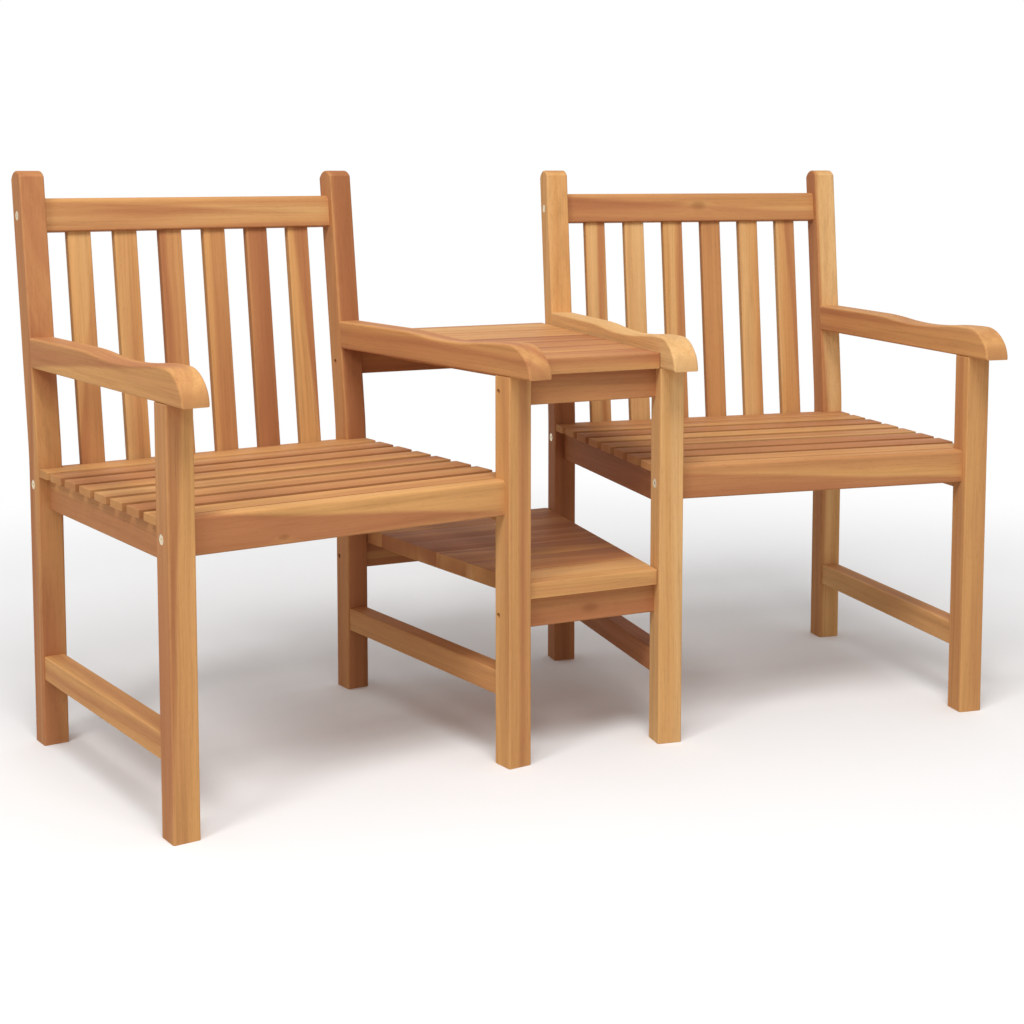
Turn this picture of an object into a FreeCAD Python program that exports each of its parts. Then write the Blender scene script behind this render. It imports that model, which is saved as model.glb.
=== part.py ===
import FreeCAD, Part
import math
import os

# Two teak armchairs, turned in towards each other, with a two-tier table between them.
# Millimetres and degrees. Each chair is drawn in its own frame: x across, y to the back, z up,
# with y = 0 at the front of the front legs and x = 0 at the middle of the chair.

# How the set stands
FRONT_GAP = 223.0  # between the chairs, at the front of the inner front legs
TURN_IN = 8.24  # each chair's turn towards the other

# Legs
CHAIR_WIDTH = 583.0  # across the outer faces of the legs
LEG = 40.0  # square section of every leg, and width of the arms
LEG_EASE = 3.0  # rounding of the legs' long edges
BACK_LEG_PLACE = 501.0  # front of the front legs to front of the back legs, at the floor
BACK_HEIGHT = 900.0  # floor to the top of the back legs
BEND_HEIGHT = 457.0  # where the back leg turns from upright to raked
BEND_RADIUS = 600.0  # of that turn, on the front face
RAKE = 6.56  # lean of the back
DOME_DROP = 11.0  # how far the domed top of the back leg falls to its front and rear faces

# Rails
RAIL_HEIGHT = 53.0
RAIL_THICK = 27.0  # front, rear and top rail, flush with the back of the legs
RAIL_EASE = 2.5
FRONT_RAIL_ROUND = 5.0  # top front edge of the front rail
TOP_RAIL_ROUND = 9.0  # top front edge of the top rail
LEG_ABOVE_RAIL = 43.0  # back leg standing above the top rail, along the rake
REAR_RAIL_DROP = 4.0  # top of the rear rail below the top of the seat
RAIL_TENON = (10.0, 11.0, 12.0)  # thickness, height and length of each of a pair
RAIL_TENON_SETBACK = 2.0  # behind the front face of the rail
RAIL_TENON_RISE = 15.0  # above and below the bolt
SIDE_RAIL_THICK = 22.0  # flush with the inner faces of the legs
SIDE_TENON = (10.0, 33.0, 12.0)

# Seat
SEAT_HEIGHT = 440.0  # floor to the top of the slats
SEAT_SLATS = 8
SLAT_THICK = 12.0
SLAT_GAP = 16.5
SLAT_START = 42.5  # front edge of the first slat
SLAT_REAR_GAP = 3.5  # last slat to the rear rail
SLAT_INSET = 2.0  # slat ends in from the outer faces of the legs
SLAT_EASE = 2.5
BEARER_THICK = 22.0
BEARER_HEIGHT = 40.0
BEARER_TENON = (10.0, 24.0, 8.0)

# Back slats
BACK_SLATS = 6
BACK_SLAT_WIDTH = 39.0
BACK_SLAT_THICK = 12.5
BACK_SLAT_EASE = 2.0
SLAT_MORTISE = 14.0  # how deep the back slats go into their rails

# Side stretchers
STRETCHER_UNDER = 105.0
STRETCHER_HEIGHT = 38.0
STRETCHER_THICK = 33.0
STRETCHER_TENON = (14.0, 22.0, 15.0)

# Arms
ARM_UNDER = 596.0  # floor to the underside of the arm, which is the top of the front leg
ARM_REAR_THICK = 46.5
ARM_DIP_THICK = 40.0
ARM_HUMP_THICK = 49.0
ARM_NOSE = 53.5  # how far the nose stands in front of the front leg
ARM_NOSE_RADIUS = 41.0  # at the tip of the nose
ARM_HUMP_PLACE = 5.0  # top of the hump, behind the front of the leg
ARM_DIP_PLACE = 180.0
ARM_LEVEL_FROM = 330.0  # the arm is level from here to the back leg
ARM_EASE = 3.5
LEG_TENON = (22.0, 25.0)  # on top of the front leg: square side and height
ARM_TENON = (14.0, 26.0, 12.0)  # into the back leg

# Table
BOARD_THICK = 24.0
BOARD_JOINT = 0.2  # glue line between two boards
BOARD_EASE = 3.5  # front and rear edge of each tier
BOARD_CLEAR = 1.0  # board ends to the chairs
TOP_BOARDS = 7
TOP_FRONT = 2.5
TOP_PAST_LEG = 68.0  # rear edge behind the front of the back legs
SHELF_BOARDS = 6
SHELF_UNDER = 255.0
SHELF_FRONT = 7.0
SHELF_PAST_LEG = 35.5
APRON_HEIGHT = 47.0
APRON_THICK = 20.0
APRON_EASE = 2.5
FRONT_APRON = 20.0  # front face of both front aprons
TOP_APRON_PAST_LEG = 22.0  # front face of the rear apron behind the front of the back legs
SHELF_APRON_PAST_LEG = 14.0
BATTEN_WIDTH = 40.0
BATTEN_THICK = 18.0
BATTEN_INSET = 40.0  # from the board ends

# Fixings
BOLT = (6.0, 70.0)  # diameter and length under the head
BOLT_HEAD = (15.0, 2.2)  # diameter and thickness
BOLT_SETBACK = 10.0  # behind the front face of the rail
SEAT_BOLT_DROP = 27.0  # below the top of the seat
HEAD_SINK = 2.5  # depth of the seat for the bolt head
SCREW_SINK = (8.0, 9.0)  # diameter and depth of the holes for the screws into the aprons

# Clearances
FIT = 0.2  # all round a tenon or a bolt in its hole
END_SLACK = 1.0  # beyond the end of a tenon or a bolt

# Worked out from the sizes above
X_OUT = CHAIR_WIDTH / 2
X_IN = X_OUT - LEG
BACK_REAR = BACK_LEG_PLACE + LEG
RAIL_SETBACK = LEG - RAIL_THICK
BACK_RAIL_PLACE = BACK_LEG_PLACE + RAIL_SETBACK
SLAT_UNDER = SEAT_HEIGHT - SLAT_THICK
REAR_RAIL_TOP = SEAT_HEIGHT - REAR_RAIL_DROP
SLAT_SPACE = BACK_RAIL_PLACE - SLAT_REAR_GAP - SLAT_START
SLAT_WIDTH = (SLAT_SPACE - (SEAT_SLATS - 1) * SLAT_GAP) / SEAT_SLATS
SEAT_BOLT_HEIGHT = SEAT_HEIGHT - SEAT_BOLT_DROP
TOP_UNDER = ARM_UNDER
TOP_REAR = BACK_LEG_PLACE + TOP_PAST_LEG
TOP_REAR_APRON = BACK_LEG_PLACE + TOP_APRON_PAST_LEG
SHELF_REAR = BACK_LEG_PLACE + SHELF_PAST_LEG
SHELF_REAR_APRON = BACK_LEG_PLACE + SHELF_APRON_PAST_LEG
SIN_RAKE = math.sin(math.radians(RAKE))
COS_RAKE = math.cos(math.radians(RAKE))
TAN_TURN = math.tan(math.radians(TURN_IN))
COS_TURN = math.cos(math.radians(TURN_IN))
DOME_RADIUS = ((LEG / 2) ** 2 + DOME_DROP**2) / (2 * DOME_DROP)
CROWN = BACK_HEIGHT - DOME_RADIUS * (1 - COS_RAKE)  # height of the middle of the domed top
# Lengths along the raked part of the back leg, counted as if it went on upright
LEG_TOP_RUN = BEND_HEIGHT + (CROWN - BEND_HEIGHT + LEG / 2 * SIN_RAKE) / COS_RAKE
TOP_RAIL_RUN = LEG_TOP_RUN - LEG_ABOVE_RAIL - RAIL_HEIGHT

V = FreeCAD.Vector
AXES = {"x": V(1, 0, 0), "y": V(0, 1, 0), "z": V(0, 0, 1)}


def block(x, y, z, slack=0.0):
    """A box between pairs of limits, grown all round by the slack of a mortise."""
    sizes = [high - low + 2 * slack for low, high in (x, y, z)]
    return Part.makeBox(*sizes, V(x[0] - slack, y[0] - slack, z[0] - slack))


def rod(diameter, length, base, axis):
    return Part.makeCylinder(diameter / 2, length, base, axis)


def eased(shape, axis, radius, wanted=lambda middle: True):
    """Rounds the straight edges along an axis whose middle is wanted."""
    edges = []
    for edge in shape.Edges:
        if edge.Curve.TypeId != "Part::GeomLine":
            continue
        along = abs(edge.tangentAt(edge.FirstParameter).dot(AXES[axis]))
        if along > 0.999 and wanted(edge.CenterOfMass):
            edges.append(edge)
    return shape.makeFillet(radius, edges)


def eased_top(shape, axis, radius):
    top = shape.BoundBox.ZMax
    return eased(shape, axis, radius, lambda middle: middle.z > top - radius)


def eased_under(shape, axis, radius):
    under = shape.BoundBox.ZMin
    return eased(shape, axis, radius, lambda middle: middle.z < under + radius)


def side_edges(shape):
    """Outline edges of a shape drawn from the side and pulled out along x."""
    return [edge for edge in shape.Edges if edge.BoundBox.XLength < 1]


def joined(*shapes):
    return shapes[0].multiFuse(list(shapes[1:])).removeSplitter()


def upright(shape):
    return shape


def raked(shape):
    """Leans a shape drawn upright about the bend of the back leg."""
    leaning = shape.copy()
    leaning.rotate(V(0, BACK_LEG_PLACE, BEND_HEIGHT), AXES["x"], -RAKE)
    return leaning


def lean(y, run):
    """Point of the side view, drawn upright, after the lean."""
    back = y - BACK_LEG_PLACE
    up = run - BEND_HEIGHT
    return V(
        X_IN,
        BACK_LEG_PLACE + back * COS_RAKE + up * SIN_RAKE,
        BEND_HEIGHT - back * SIN_RAKE + up * COS_RAKE,
    )


def other_side(shape):
    """The same piece on the other side of a chair, or of the set."""
    return shape.mirror(V(0, 0, 0), AXES["x"])


# Joints that two pieces share: drawn once, as the tenon or, with slack, as its mortise


def end_tenons(tenon, middle_x, middle_z, shoulders, slack=0.0):
    """Tenons on both ends of a bar that runs front to back."""
    thick, high, length = tenon
    long = length + (END_SLACK if slack else 0.0)
    front, rear = shoulders
    x = (middle_x - thick / 2, middle_x + thick / 2)
    z = (middle_z - high / 2, middle_z + high / 2)
    return [
        block(x, (front - long, front), z, slack),
        block(x, (rear, rear + long), z, slack),
    ]


def side_rail_tenons(slack=0.0):
    middle_x = X_IN + SIDE_RAIL_THICK / 2
    middle_z = SLAT_UNDER - RAIL_HEIGHT / 2
    return end_tenons(SIDE_TENON, middle_x, middle_z, (LEG, BACK_LEG_PLACE), slack)


def stretcher_tenons(slack=0.0):
    middle_z = STRETCHER_UNDER + STRETCHER_HEIGHT / 2
    return end_tenons(STRETCHER_TENON, X_IN + LEG / 2, middle_z, (LEG, BACK_LEG_PLACE), slack)


def bearer_tenons(slack=0.0):
    middle_z = SLAT_UNDER - BEARER_HEIGHT / 2
    return end_tenons(BEARER_TENON, 0.0, middle_z, (LEG, BACK_RAIL_PLACE), slack)


def leg_tenon(slack=0.0):
    side, high = LEG_TENON
    margin = (LEG - side) / 2
    x = (X_IN + margin, X_OUT - margin)
    top = ARM_UNDER + high + (END_SLACK if slack else 0.0)
    return block(x, (margin, LEG - margin), (ARM_UNDER, top), slack)


def arm_tenon(slack=0.0):
    """Stub on the rear end of the arm, square to the raked face of the back leg."""
    thick, high, length = ARM_TENON
    middle_x = X_IN + LEG / 2
    middle_run = BEND_HEIGHT + (ARM_UNDER + ARM_REAR_THICK / 2 - BEND_HEIGHT) / COS_RAKE
    long = length + (END_SLACK if slack else 0.0)
    x = (middle_x - thick / 2, middle_x + thick / 2)
    y = (BACK_LEG_PLACE - length, BACK_LEG_PLACE + long)
    z = (middle_run - high / 2, middle_run + high / 2)
    return raked(block(x, y, z, slack))


def back_slat_bars(slack=0.0):
    """Back slats, evenly spaced, in the middle of the top rail's thickness."""
    space = (2 * X_IN - BACK_SLATS * BACK_SLAT_WIDTH) / (BACK_SLATS + 1)
    front = BACK_RAIL_PLACE + (RAIL_THICK - BACK_SLAT_THICK) / 2
    depth = front + BACK_SLAT_THICK / 2 - BACK_LEG_PLACE
    rail_run = BEND_HEIGHT + (REAR_RAIL_TOP - BEND_HEIGHT + depth * SIN_RAKE) / COS_RAKE
    extra = END_SLACK if slack else 0.0
    run = (rail_run - SLAT_MORTISE - extra, TOP_RAIL_RUN + SLAT_MORTISE + extra)
    bars = []
    for number in range(BACK_SLATS):
        left = -X_IN + space + number * (BACK_SLAT_WIDTH + space)
        x = (left, left + BACK_SLAT_WIDTH)
        bars.append(raked(block(x, (front, front + BACK_SLAT_THICK), run, slack)))
    return bars


# Joints of the front, rear and top rail with the legs: a bolt between two stub tenons.
# Each is given by the front face of its rail, the height of its bolt and its lean.

FRONT_JOINT = (RAIL_SETBACK, SEAT_BOLT_HEIGHT, upright)
REAR_JOINT = (BACK_RAIL_PLACE, SEAT_BOLT_HEIGHT, upright)
TOP_JOINT = (BACK_RAIL_PLACE, TOP_RAIL_RUN + RAIL_HEIGHT / 2, raked)


def rail_tenons(joint, slack=0.0):
    """Pair of stub tenons on the end of a rail where x is positive."""
    rail_front, bolt_height, leaning = joint
    thick, high, length = RAIL_TENON
    front = rail_front + RAIL_TENON_SETBACK
    end = X_IN + length + (END_SLACK if slack else 0.0)
    pair = []
    for rise in (-RAIL_TENON_RISE, RAIL_TENON_RISE):
        z = (bolt_height + rise - high / 2, bolt_height + rise + high / 2)
        pair.append(leaning(block((X_IN, end), (front, front + thick), z, slack)))
    return pair


def bolt(joint):
    """Joint bolt with a flat round head let into the outer face of the leg."""
    rail_front, height, leaning = joint
    base = V(X_OUT - HEAD_SINK, rail_front + BOLT_SETBACK, height)
    head = rod(*BOLT_HEAD, base, AXES["x"])
    return leaning(joined(head, rod(*BOLT, base, -AXES["x"])))


def bolt_hole(joint):
    rail_front, height, leaning = joint
    base = V(X_OUT - HEAD_SINK, rail_front + BOLT_SETBACK, height)
    seat = rod(BOLT_HEAD[0] + 2 * FIT, HEAD_SINK, base, AXES["x"])
    return leaning(joined(seat, rod(BOLT[0] + 2 * FIT, BOLT[1] + END_SLACK, base, -AXES["x"])))


def leg_cutters(joint):
    return rail_tenons(joint, FIT) + [bolt_hole(joint)]


def bolted_rail(rail, joint):
    """Adds the tenons and the bolt holes to both ends of a rail."""
    tenons = rail_tenons(joint)
    hole = bolt_hole(joint)
    ends = tenons + [other_side(tenon) for tenon in tenons]
    return joined(rail, *ends).cut([hole, other_side(hole)])


# Pieces of a chair, drawn on the side where x is positive


def front_leg():
    leg = eased(block((X_IN, X_OUT), (0, LEG), (0, ARM_UNDER)), "z", LEG_EASE)
    mortises = [side_rail_tenons(FIT)[0], stretcher_tenons(FIT)[0]]
    return joined(leg, leg_tenon()).cut(mortises + leg_cutters(FRONT_JOINT))


def back_leg():
    """Upright, a turn on one centre, the raked part and a domed top, drawn from the side."""
    half = math.radians(RAKE / 2)
    centre_y = BACK_LEG_PLACE + BEND_RADIUS
    centre_z = BEND_HEIGHT - BEND_RADIUS * math.tan(half)

    def turn(radius):
        start = V(X_IN, centre_y - radius, centre_z)
        middle = V(X_IN, centre_y - radius * math.cos(half), centre_z + radius * math.sin(half))
        end = V(X_IN, centre_y - radius * COS_RAKE, centre_z + radius * SIN_RAKE)
        return start, middle, end

    front = turn(BEND_RADIUS)
    rear = turn(BEND_RADIUS - LEG)
    shoulder = LEG_TOP_RUN - DOME_DROP
    top_front = lean(BACK_LEG_PLACE, shoulder)
    top_rear = lean(BACK_REAR, shoulder)
    apex = lean(BACK_LEG_PLACE + LEG / 2, LEG_TOP_RUN)
    foot_front = V(X_IN, BACK_LEG_PLACE, 0)
    foot_rear = V(X_IN, BACK_REAR, 0)
    outline = Part.Wire([
        Part.makeLine(foot_front, front[0]),
        Part.Arc(*front).toShape(),
        Part.makeLine(front[2], top_front),
        Part.Arc(top_front, apex, top_rear).toShape(),
        Part.makeLine(top_rear, rear[2]),
        Part.Arc(*reversed(rear)).toShape(),
        Part.makeLine(rear[0], foot_rear),
        Part.makeLine(foot_rear, foot_front),
    ])
    leg = Part.Face(outline).extrude(V(LEG, 0, 0))
    long_edges = [edge for edge in side_edges(leg) if edge.BoundBox.ZMax > LEG_EASE]
    leg = leg.makeFillet(LEG_EASE, long_edges)
    mortises = [side_rail_tenons(FIT)[1], stretcher_tenons(FIT)[1], arm_tenon(FIT)]
    return leg.cut(mortises + leg_cutters(REAR_JOINT) + leg_cutters(TOP_JOINT))


def nose_curve(tip, hump):
    """Two arcs that touch: tight and upright at the tip, wider and level on the hump."""
    reach = hump.y - tip.y
    rise = hump.z - tip.z
    tight = ARM_NOSE_RADIUS
    wide = ((reach - tight) ** 2 + rise**2 - tight**2) / (2 * (rise - tight))
    tight_centre = V(X_IN, tip.y + tight, tip.z)
    wide_centre = V(X_IN, hump.y, hump.z - wide)
    out = (tight_centre - wide_centre).normalize()
    meeting = wide_centre + out * wide
    return [
        Part.Arc(tip, tight_centre + (out - AXES["y"]).normalize() * tight, meeting).toShape(),
        Part.Arc(meeting, wide_centre + (out + AXES["z"]).normalize() * wide, hump).toShape(),
    ]


def level_to_level(start, end):
    """Two like arcs that leave one point level and come in level at another."""
    run = end.y - start.y
    slope = math.atan2(end.z - start.z, run)
    bow = run / 4 / math.cos(slope) * math.tan(slope / 2)
    across = V(0, -math.sin(slope), math.cos(slope)) * bow
    middle = (start + end) * 0.5
    first = (start + middle) * 0.5 - across
    second = (middle + end) * 0.5 + across
    return [Part.Arc(start, first, middle).toShape(), Part.Arc(middle, second, end).toShape()]


def arm():
    """Level at the back, a shallow dip, a hump over the front leg and a rolled nose."""
    tan_rake = SIN_RAKE / COS_RAKE

    def at_back_leg(z):
        return V(X_IN, BACK_LEG_PLACE + (z - BEND_HEIGHT) * tan_rake, z)

    def top(y, thick):
        return V(X_IN, y, ARM_UNDER + thick)

    hump = top(ARM_HUMP_PLACE, ARM_HUMP_THICK)
    dip = top(ARM_DIP_PLACE, ARM_DIP_THICK)
    level = top(ARM_LEVEL_FROM, ARM_REAR_THICK)
    rear_top = at_back_leg(ARM_UNDER + ARM_REAR_THICK)
    rear_under = at_back_leg(ARM_UNDER)
    tip = V(X_IN, -ARM_NOSE, ARM_UNDER)
    outline = Part.Wire(
        nose_curve(tip, hump)
        + level_to_level(hump, dip)
        + level_to_level(dip, level)
        + [
            Part.makeLine(level, rear_top),
            Part.makeLine(rear_top, rear_under),
            Part.makeLine(rear_under, tip),
        ]
    )
    body = Part.Face(outline).extrude(V(LEG, 0, 0))
    long_edges = [edge for edge in side_edges(body) if edge.CenterOfMass.y < BACK_LEG_PLACE]
    body = body.makeFillet(ARM_EASE, long_edges)
    return joined(body, arm_tenon()).cut(leg_tenon(FIT))


def side_rail():
    x = (X_IN, X_IN + SIDE_RAIL_THICK)
    rail = block(x, (LEG, BACK_LEG_PLACE), (SLAT_UNDER - RAIL_HEIGHT, SLAT_UNDER))
    return joined(eased_under(rail, "y", RAIL_EASE), *side_rail_tenons())


def stretcher():
    margin = (LEG - STRETCHER_THICK) / 2
    z = (STRETCHER_UNDER, STRETCHER_UNDER + STRETCHER_HEIGHT)
    bar = block((X_IN + margin, X_OUT - margin), (LEG, BACK_LEG_PLACE), z)
    return joined(eased(bar, "y", RAIL_EASE), *stretcher_tenons())


# Pieces of a chair that cross from side to side


def rounded_rail(front, under, top_round):
    """Rail with a rounded top front edge and eased other edges."""
    top = under + RAIL_HEIGHT
    rail = block((-X_IN, X_IN), (front, front + RAIL_THICK), (under, top))

    def is_top_front(middle):
        return middle.y < front + 1 and middle.z > top - 1

    corners = ((front, under), (front + RAIL_THICK, under), (front + RAIL_THICK, top))

    def is_other(middle):
        return any(abs(middle.y - y) < 1 and abs(middle.z - z) < 1 for y, z in corners)

    rail = eased(rail, "x", top_round, is_top_front)
    return eased(rail, "x", RAIL_EASE, is_other)


def front_rail():
    rail = rounded_rail(RAIL_SETBACK, SEAT_HEIGHT - RAIL_HEIGHT, FRONT_RAIL_ROUND)
    return bolted_rail(rail, FRONT_JOINT).cut(bearer_tenons(FIT)[0])


def rear_rail():
    rail = rounded_rail(BACK_RAIL_PLACE, REAR_RAIL_TOP - RAIL_HEIGHT, RAIL_EASE)
    return bolted_rail(rail, REAR_JOINT).cut([bearer_tenons(FIT)[1]] + back_slat_bars(FIT))


def top_rail():
    rail = raked(rounded_rail(BACK_RAIL_PLACE, TOP_RAIL_RUN, TOP_RAIL_ROUND))
    return bolted_rail(rail, TOP_JOINT).cut(back_slat_bars(FIT))


def seat_bearer():
    x = (-BEARER_THICK / 2, BEARER_THICK / 2)
    bar = block(x, (LEG, BACK_RAIL_PLACE), (SLAT_UNDER - BEARER_HEIGHT, SLAT_UNDER))
    return joined(bar, *bearer_tenons())


def seat_slat(number):
    end = X_OUT - SLAT_INSET
    front = SLAT_START + number * (SLAT_WIDTH + SLAT_GAP)
    slat = block((-end, end), (front, front + SLAT_WIDTH), (SLAT_UNDER, SEAT_HEIGHT))
    return eased_top(slat, "x", SLAT_EASE)


def seat_slats():
    return Part.makeCompound([seat_slat(number) for number in range(SEAT_SLATS - 1)])


def rear_seat_slat():
    """Last slat, notched round the back legs."""
    notch = block((X_IN, X_OUT), (BACK_LEG_PLACE, BACK_REAR), (0, BACK_HEIGHT), END_SLACK)
    return seat_slat(SEAT_SLATS - 1).cut([notch, other_side(notch)])


def back_slats():
    """Back slats with their four long edges eased."""
    slats = []
    for bar in back_slat_bars():
        longest = max(edge.Length for edge in bar.Edges)
        long_edges = [edge for edge in bar.Edges if edge.Length > longest - 1]
        slats.append(bar.makeFillet(BACK_SLAT_EASE, long_edges))
    return Part.makeCompound(slats)


# The table, drawn in the set's own frame


def between_chairs(y, z, clear=0.0):
    """Board or apron whose ends follow the faces of the two chairs."""
    plan = []
    for side, depth in ((-1, y[0]), (1, y[0]), (1, y[1]), (-1, y[1])):
        half = FRONT_GAP / 2 + depth * TAN_TURN - clear / COS_TURN
        plan.append(V(side * half, depth, z[0]))
    return Part.Face(Part.makePolygon(plan + plan[:1])).extrude(V(0, 0, z[1] - z[0]))


def boards(front, rear, count, under):
    """Boards of one tier, front to back, glued edge to edge."""
    width = (rear - front - (count - 1) * BOARD_JOINT) / count

    def outer_edge(middle):
        return middle.z > under and not front + 1 < middle.y < rear - 1

    made = []
    for number in range(count):
        start = front + number * (width + BOARD_JOINT)
        z = (under, under + BOARD_THICK)
        board = between_chairs((start, start + width), z, BOARD_CLEAR)
        if number in (0, count - 1):
            board = eased(board, "x", BOARD_EASE, outer_edge)
        made.append(board)
    return made


def apron(front, top):
    bar = between_chairs((front, front + APRON_THICK), (top - APRON_HEIGHT, top))
    return eased_under(bar, "x", APRON_EASE)


def batten(rear_apron, top):
    """Right-hand batten, along the chair's face, from the front apron to the rear one."""
    front = FRONT_APRON + APRON_THICK
    far_side = BATTEN_INSET + BATTEN_WIDTH
    plan = []
    for inset, depth in (
        (far_side, front),
        (BATTEN_INSET, front),
        (BATTEN_INSET, rear_apron),
        (far_side, rear_apron),
    ):
        x = FRONT_GAP / 2 + depth * TAN_TURN - inset
        plan.append(V(x, depth, top - BATTEN_THICK))
    return Part.Face(Part.makePolygon(plan + plan[:1])).extrude(V(0, 0, BATTEN_THICK))


def screw_sink(apron_front, apron_top):
    """Hole in the chair side of the right chair's inner leg, for a screw into the end of an apron."""
    diameter, depth = SCREW_SINK
    middle = (apron_front + APRON_THICK / 2) / COS_TURN
    return rod(diameter, depth, V(-X_IN, middle, apron_top - APRON_HEIGHT / 2), -AXES["x"])


# Putting the set together


def set_right(shape):
    """Moves a piece from the chair's frame to the right-hand chair's place in the set."""
    placed = shape.copy()
    placed.translate(V(X_OUT, 0, 0))
    placed.rotate(V(0, 0, 0), AXES["z"], -TURN_IN)
    placed.translate(V(FRONT_GAP / 2, 0, 0))
    return placed


def chair_pieces():
    """Every wooden piece of the right-hand chair, in the chair's frame."""
    pieces = {}
    for name, make in (
        ("front_leg", front_leg),
        ("back_leg", back_leg),
        ("arm", arm),
        ("side_rail", side_rail),
        ("stretcher", stretcher),
    ):
        piece = make()
        pieces[name + "_outer"] = piece
        pieces[name + "_inner"] = other_side(piece)
    sinks = {
        "front_leg_inner": [(FRONT_APRON, TOP_UNDER), (FRONT_APRON, SHELF_UNDER)],
        "back_leg_inner": [(TOP_REAR_APRON, TOP_UNDER), (SHELF_REAR_APRON, SHELF_UNDER)],
    }
    for name, places in sinks.items():
        pieces[name] = pieces[name].cut([screw_sink(*place) for place in places])
    pieces["front_rail"] = front_rail()
    pieces["rear_rail"] = rear_rail()
    pieces["top_rail"] = top_rail()
    pieces["seat_bearer"] = seat_bearer()
    pieces["seat_slats"] = seat_slats()
    pieces["rear_seat_slat"] = rear_seat_slat()
    pieces["back_slats"] = back_slats()
    return pieces


def tier(name, made_boards, rear_apron, under):
    """Boards, aprons and battens of the table top or the shelf."""
    pieces = {}
    for number, board in enumerate(made_boards, 1):
        pieces["%s_board_%d" % (name, number)] = board
    pieces[name + "_front_apron"] = apron(FRONT_APRON, under)
    pieces[name + "_rear_apron"] = apron(rear_apron, under)
    pieces[name + "_batten_right"] = batten(rear_apron, under)
    pieces[name + "_batten_left"] = other_side(pieces[name + "_batten_right"])
    return pieces


def joint_bolts():
    """All the bolts of both chairs, one solid each."""
    one_side = [bolt(joint) for joint in (FRONT_JOINT, REAR_JOINT, TOP_JOINT)]
    right = [set_right(shape) for shape in one_side + [other_side(shape) for shape in one_side]]
    return Part.makeCompound(right + [other_side(shape) for shape in right])


def whole_set():
    nodes = {}
    for name, piece in chair_pieces().items():
        nodes["right_" + name] = set_right(piece)
        nodes["left_" + name] = other_side(nodes["right_" + name])
    top_boards = boards(TOP_FRONT, TOP_REAR, TOP_BOARDS, TOP_UNDER)
    shelf_boards = boards(SHELF_FRONT, SHELF_REAR, SHELF_BOARDS, SHELF_UNDER)
    nodes.update(tier("top", top_boards, TOP_REAR_APRON, TOP_UNDER))
    nodes.update(tier("shelf", shelf_boards, SHELF_REAR_APRON, SHELF_UNDER))
    nodes["joint_bolts"] = joint_bolts()
    return nodes


def main():
    os.makedirs("parts", exist_ok=True)
    nodes = whole_set()
    # The origin is on the floor, at the middle of the set's length and depth
    bounds = Part.makeCompound(list(nodes.values())).optimalBoundingBox(False, False)
    middle = (bounds.YMin + bounds.YMax) / 2
    for name, shape in nodes.items():
        shape.translate(V(0, -middle, 0))
        shape.exportStep("parts/%s.step" % name)
    print("%d nodes, %.1f x %.1f x %.1f mm" % (
        len(nodes), bounds.XLength, bounds.YLength, bounds.ZLength))


main()
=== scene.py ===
import math
import random
from collections import namedtuple

import bmesh
import bpy
from mathutils import Matrix, Vector


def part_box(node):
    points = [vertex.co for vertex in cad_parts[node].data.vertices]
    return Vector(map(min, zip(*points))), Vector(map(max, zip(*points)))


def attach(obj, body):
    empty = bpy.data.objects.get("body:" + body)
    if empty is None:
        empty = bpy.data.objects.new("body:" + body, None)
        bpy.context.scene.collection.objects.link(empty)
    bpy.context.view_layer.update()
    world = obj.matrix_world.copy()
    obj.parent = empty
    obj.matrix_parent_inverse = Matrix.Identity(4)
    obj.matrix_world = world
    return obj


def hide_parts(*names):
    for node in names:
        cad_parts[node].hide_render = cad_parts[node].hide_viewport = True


bl_info = {
    "name": "Joined garden armchairs",
    "version": (1, 0, 0),
    "blender": (4, 5, 0),
    "location": "3D View > Sidebar > Garden seat",
    "description": "Teak armchairs turned in towards each other, with a table and shelf between them",
    "category": "Object",
}

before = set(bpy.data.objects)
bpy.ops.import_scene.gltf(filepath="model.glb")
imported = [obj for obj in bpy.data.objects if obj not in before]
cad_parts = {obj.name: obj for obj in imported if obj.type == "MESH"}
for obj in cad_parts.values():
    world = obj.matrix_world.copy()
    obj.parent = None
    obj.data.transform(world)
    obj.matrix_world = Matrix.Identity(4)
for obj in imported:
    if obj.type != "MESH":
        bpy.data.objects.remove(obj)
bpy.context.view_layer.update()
BODY = "root"
MM = 0.001

# Fixed layout of the solids, in metres. A chair's own frame has x across, y to the back and z up,
# with y = 0 at the front of the front legs and x = 0 at the middle of the chair.
TURN_IN = math.radians(8.24)
RAKE = math.radians(6.56)
CHAIR_WIDTH = 583 * MM
FRONT_GAP = 223 * MM
LEG = 40 * MM
BACK_LEG_PLACE = 501 * MM
BACK_HEIGHT = 900 * MM
BEND_HEIGHT = 457 * MM
RAIL_THICK = 27 * MM
RAIL_HEIGHT = 53 * MM
REAR_RAIL_DROP = 4 * MM
TOP_RAIL_RUN = 809.06 * MM
SIDE_RAIL_THICK = 22 * MM
STRETCHER_MIDDLE = 124 * MM
STRETCHER_THICK = 33 * MM
STRETCHER_HEIGHT = 38 * MM
BEARER = (22 * MM, 474 * MM, 40 * MM)
SEAT_SLAT_THICK = 12 * MM
SEAT_SLAT_LENGTH = 579 * MM
LAST_SLAT_PLACE = 488.5 * MM
LAST_SLAT_WIDTH = 44 * MM
BACK_SLAT_FOOT = 428 * MM
BACK_SLAT_TENON = 10 * MM
APRON_PLACE = 30 * MM
APRON_THICK = 20 * MM
APRON_HEIGHT = 47 * MM
BATTEN = (40 * MM, 480 * MM, 18 * MM)
BATTEN_MIDDLE = 281.5 * MM
BATTEN_INSET = 60 * MM
BOLT_DROP = 27 * MM
BOLT_SETBACK = 10 * MM
NUT_FROM_LEG = 28 * MM
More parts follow.
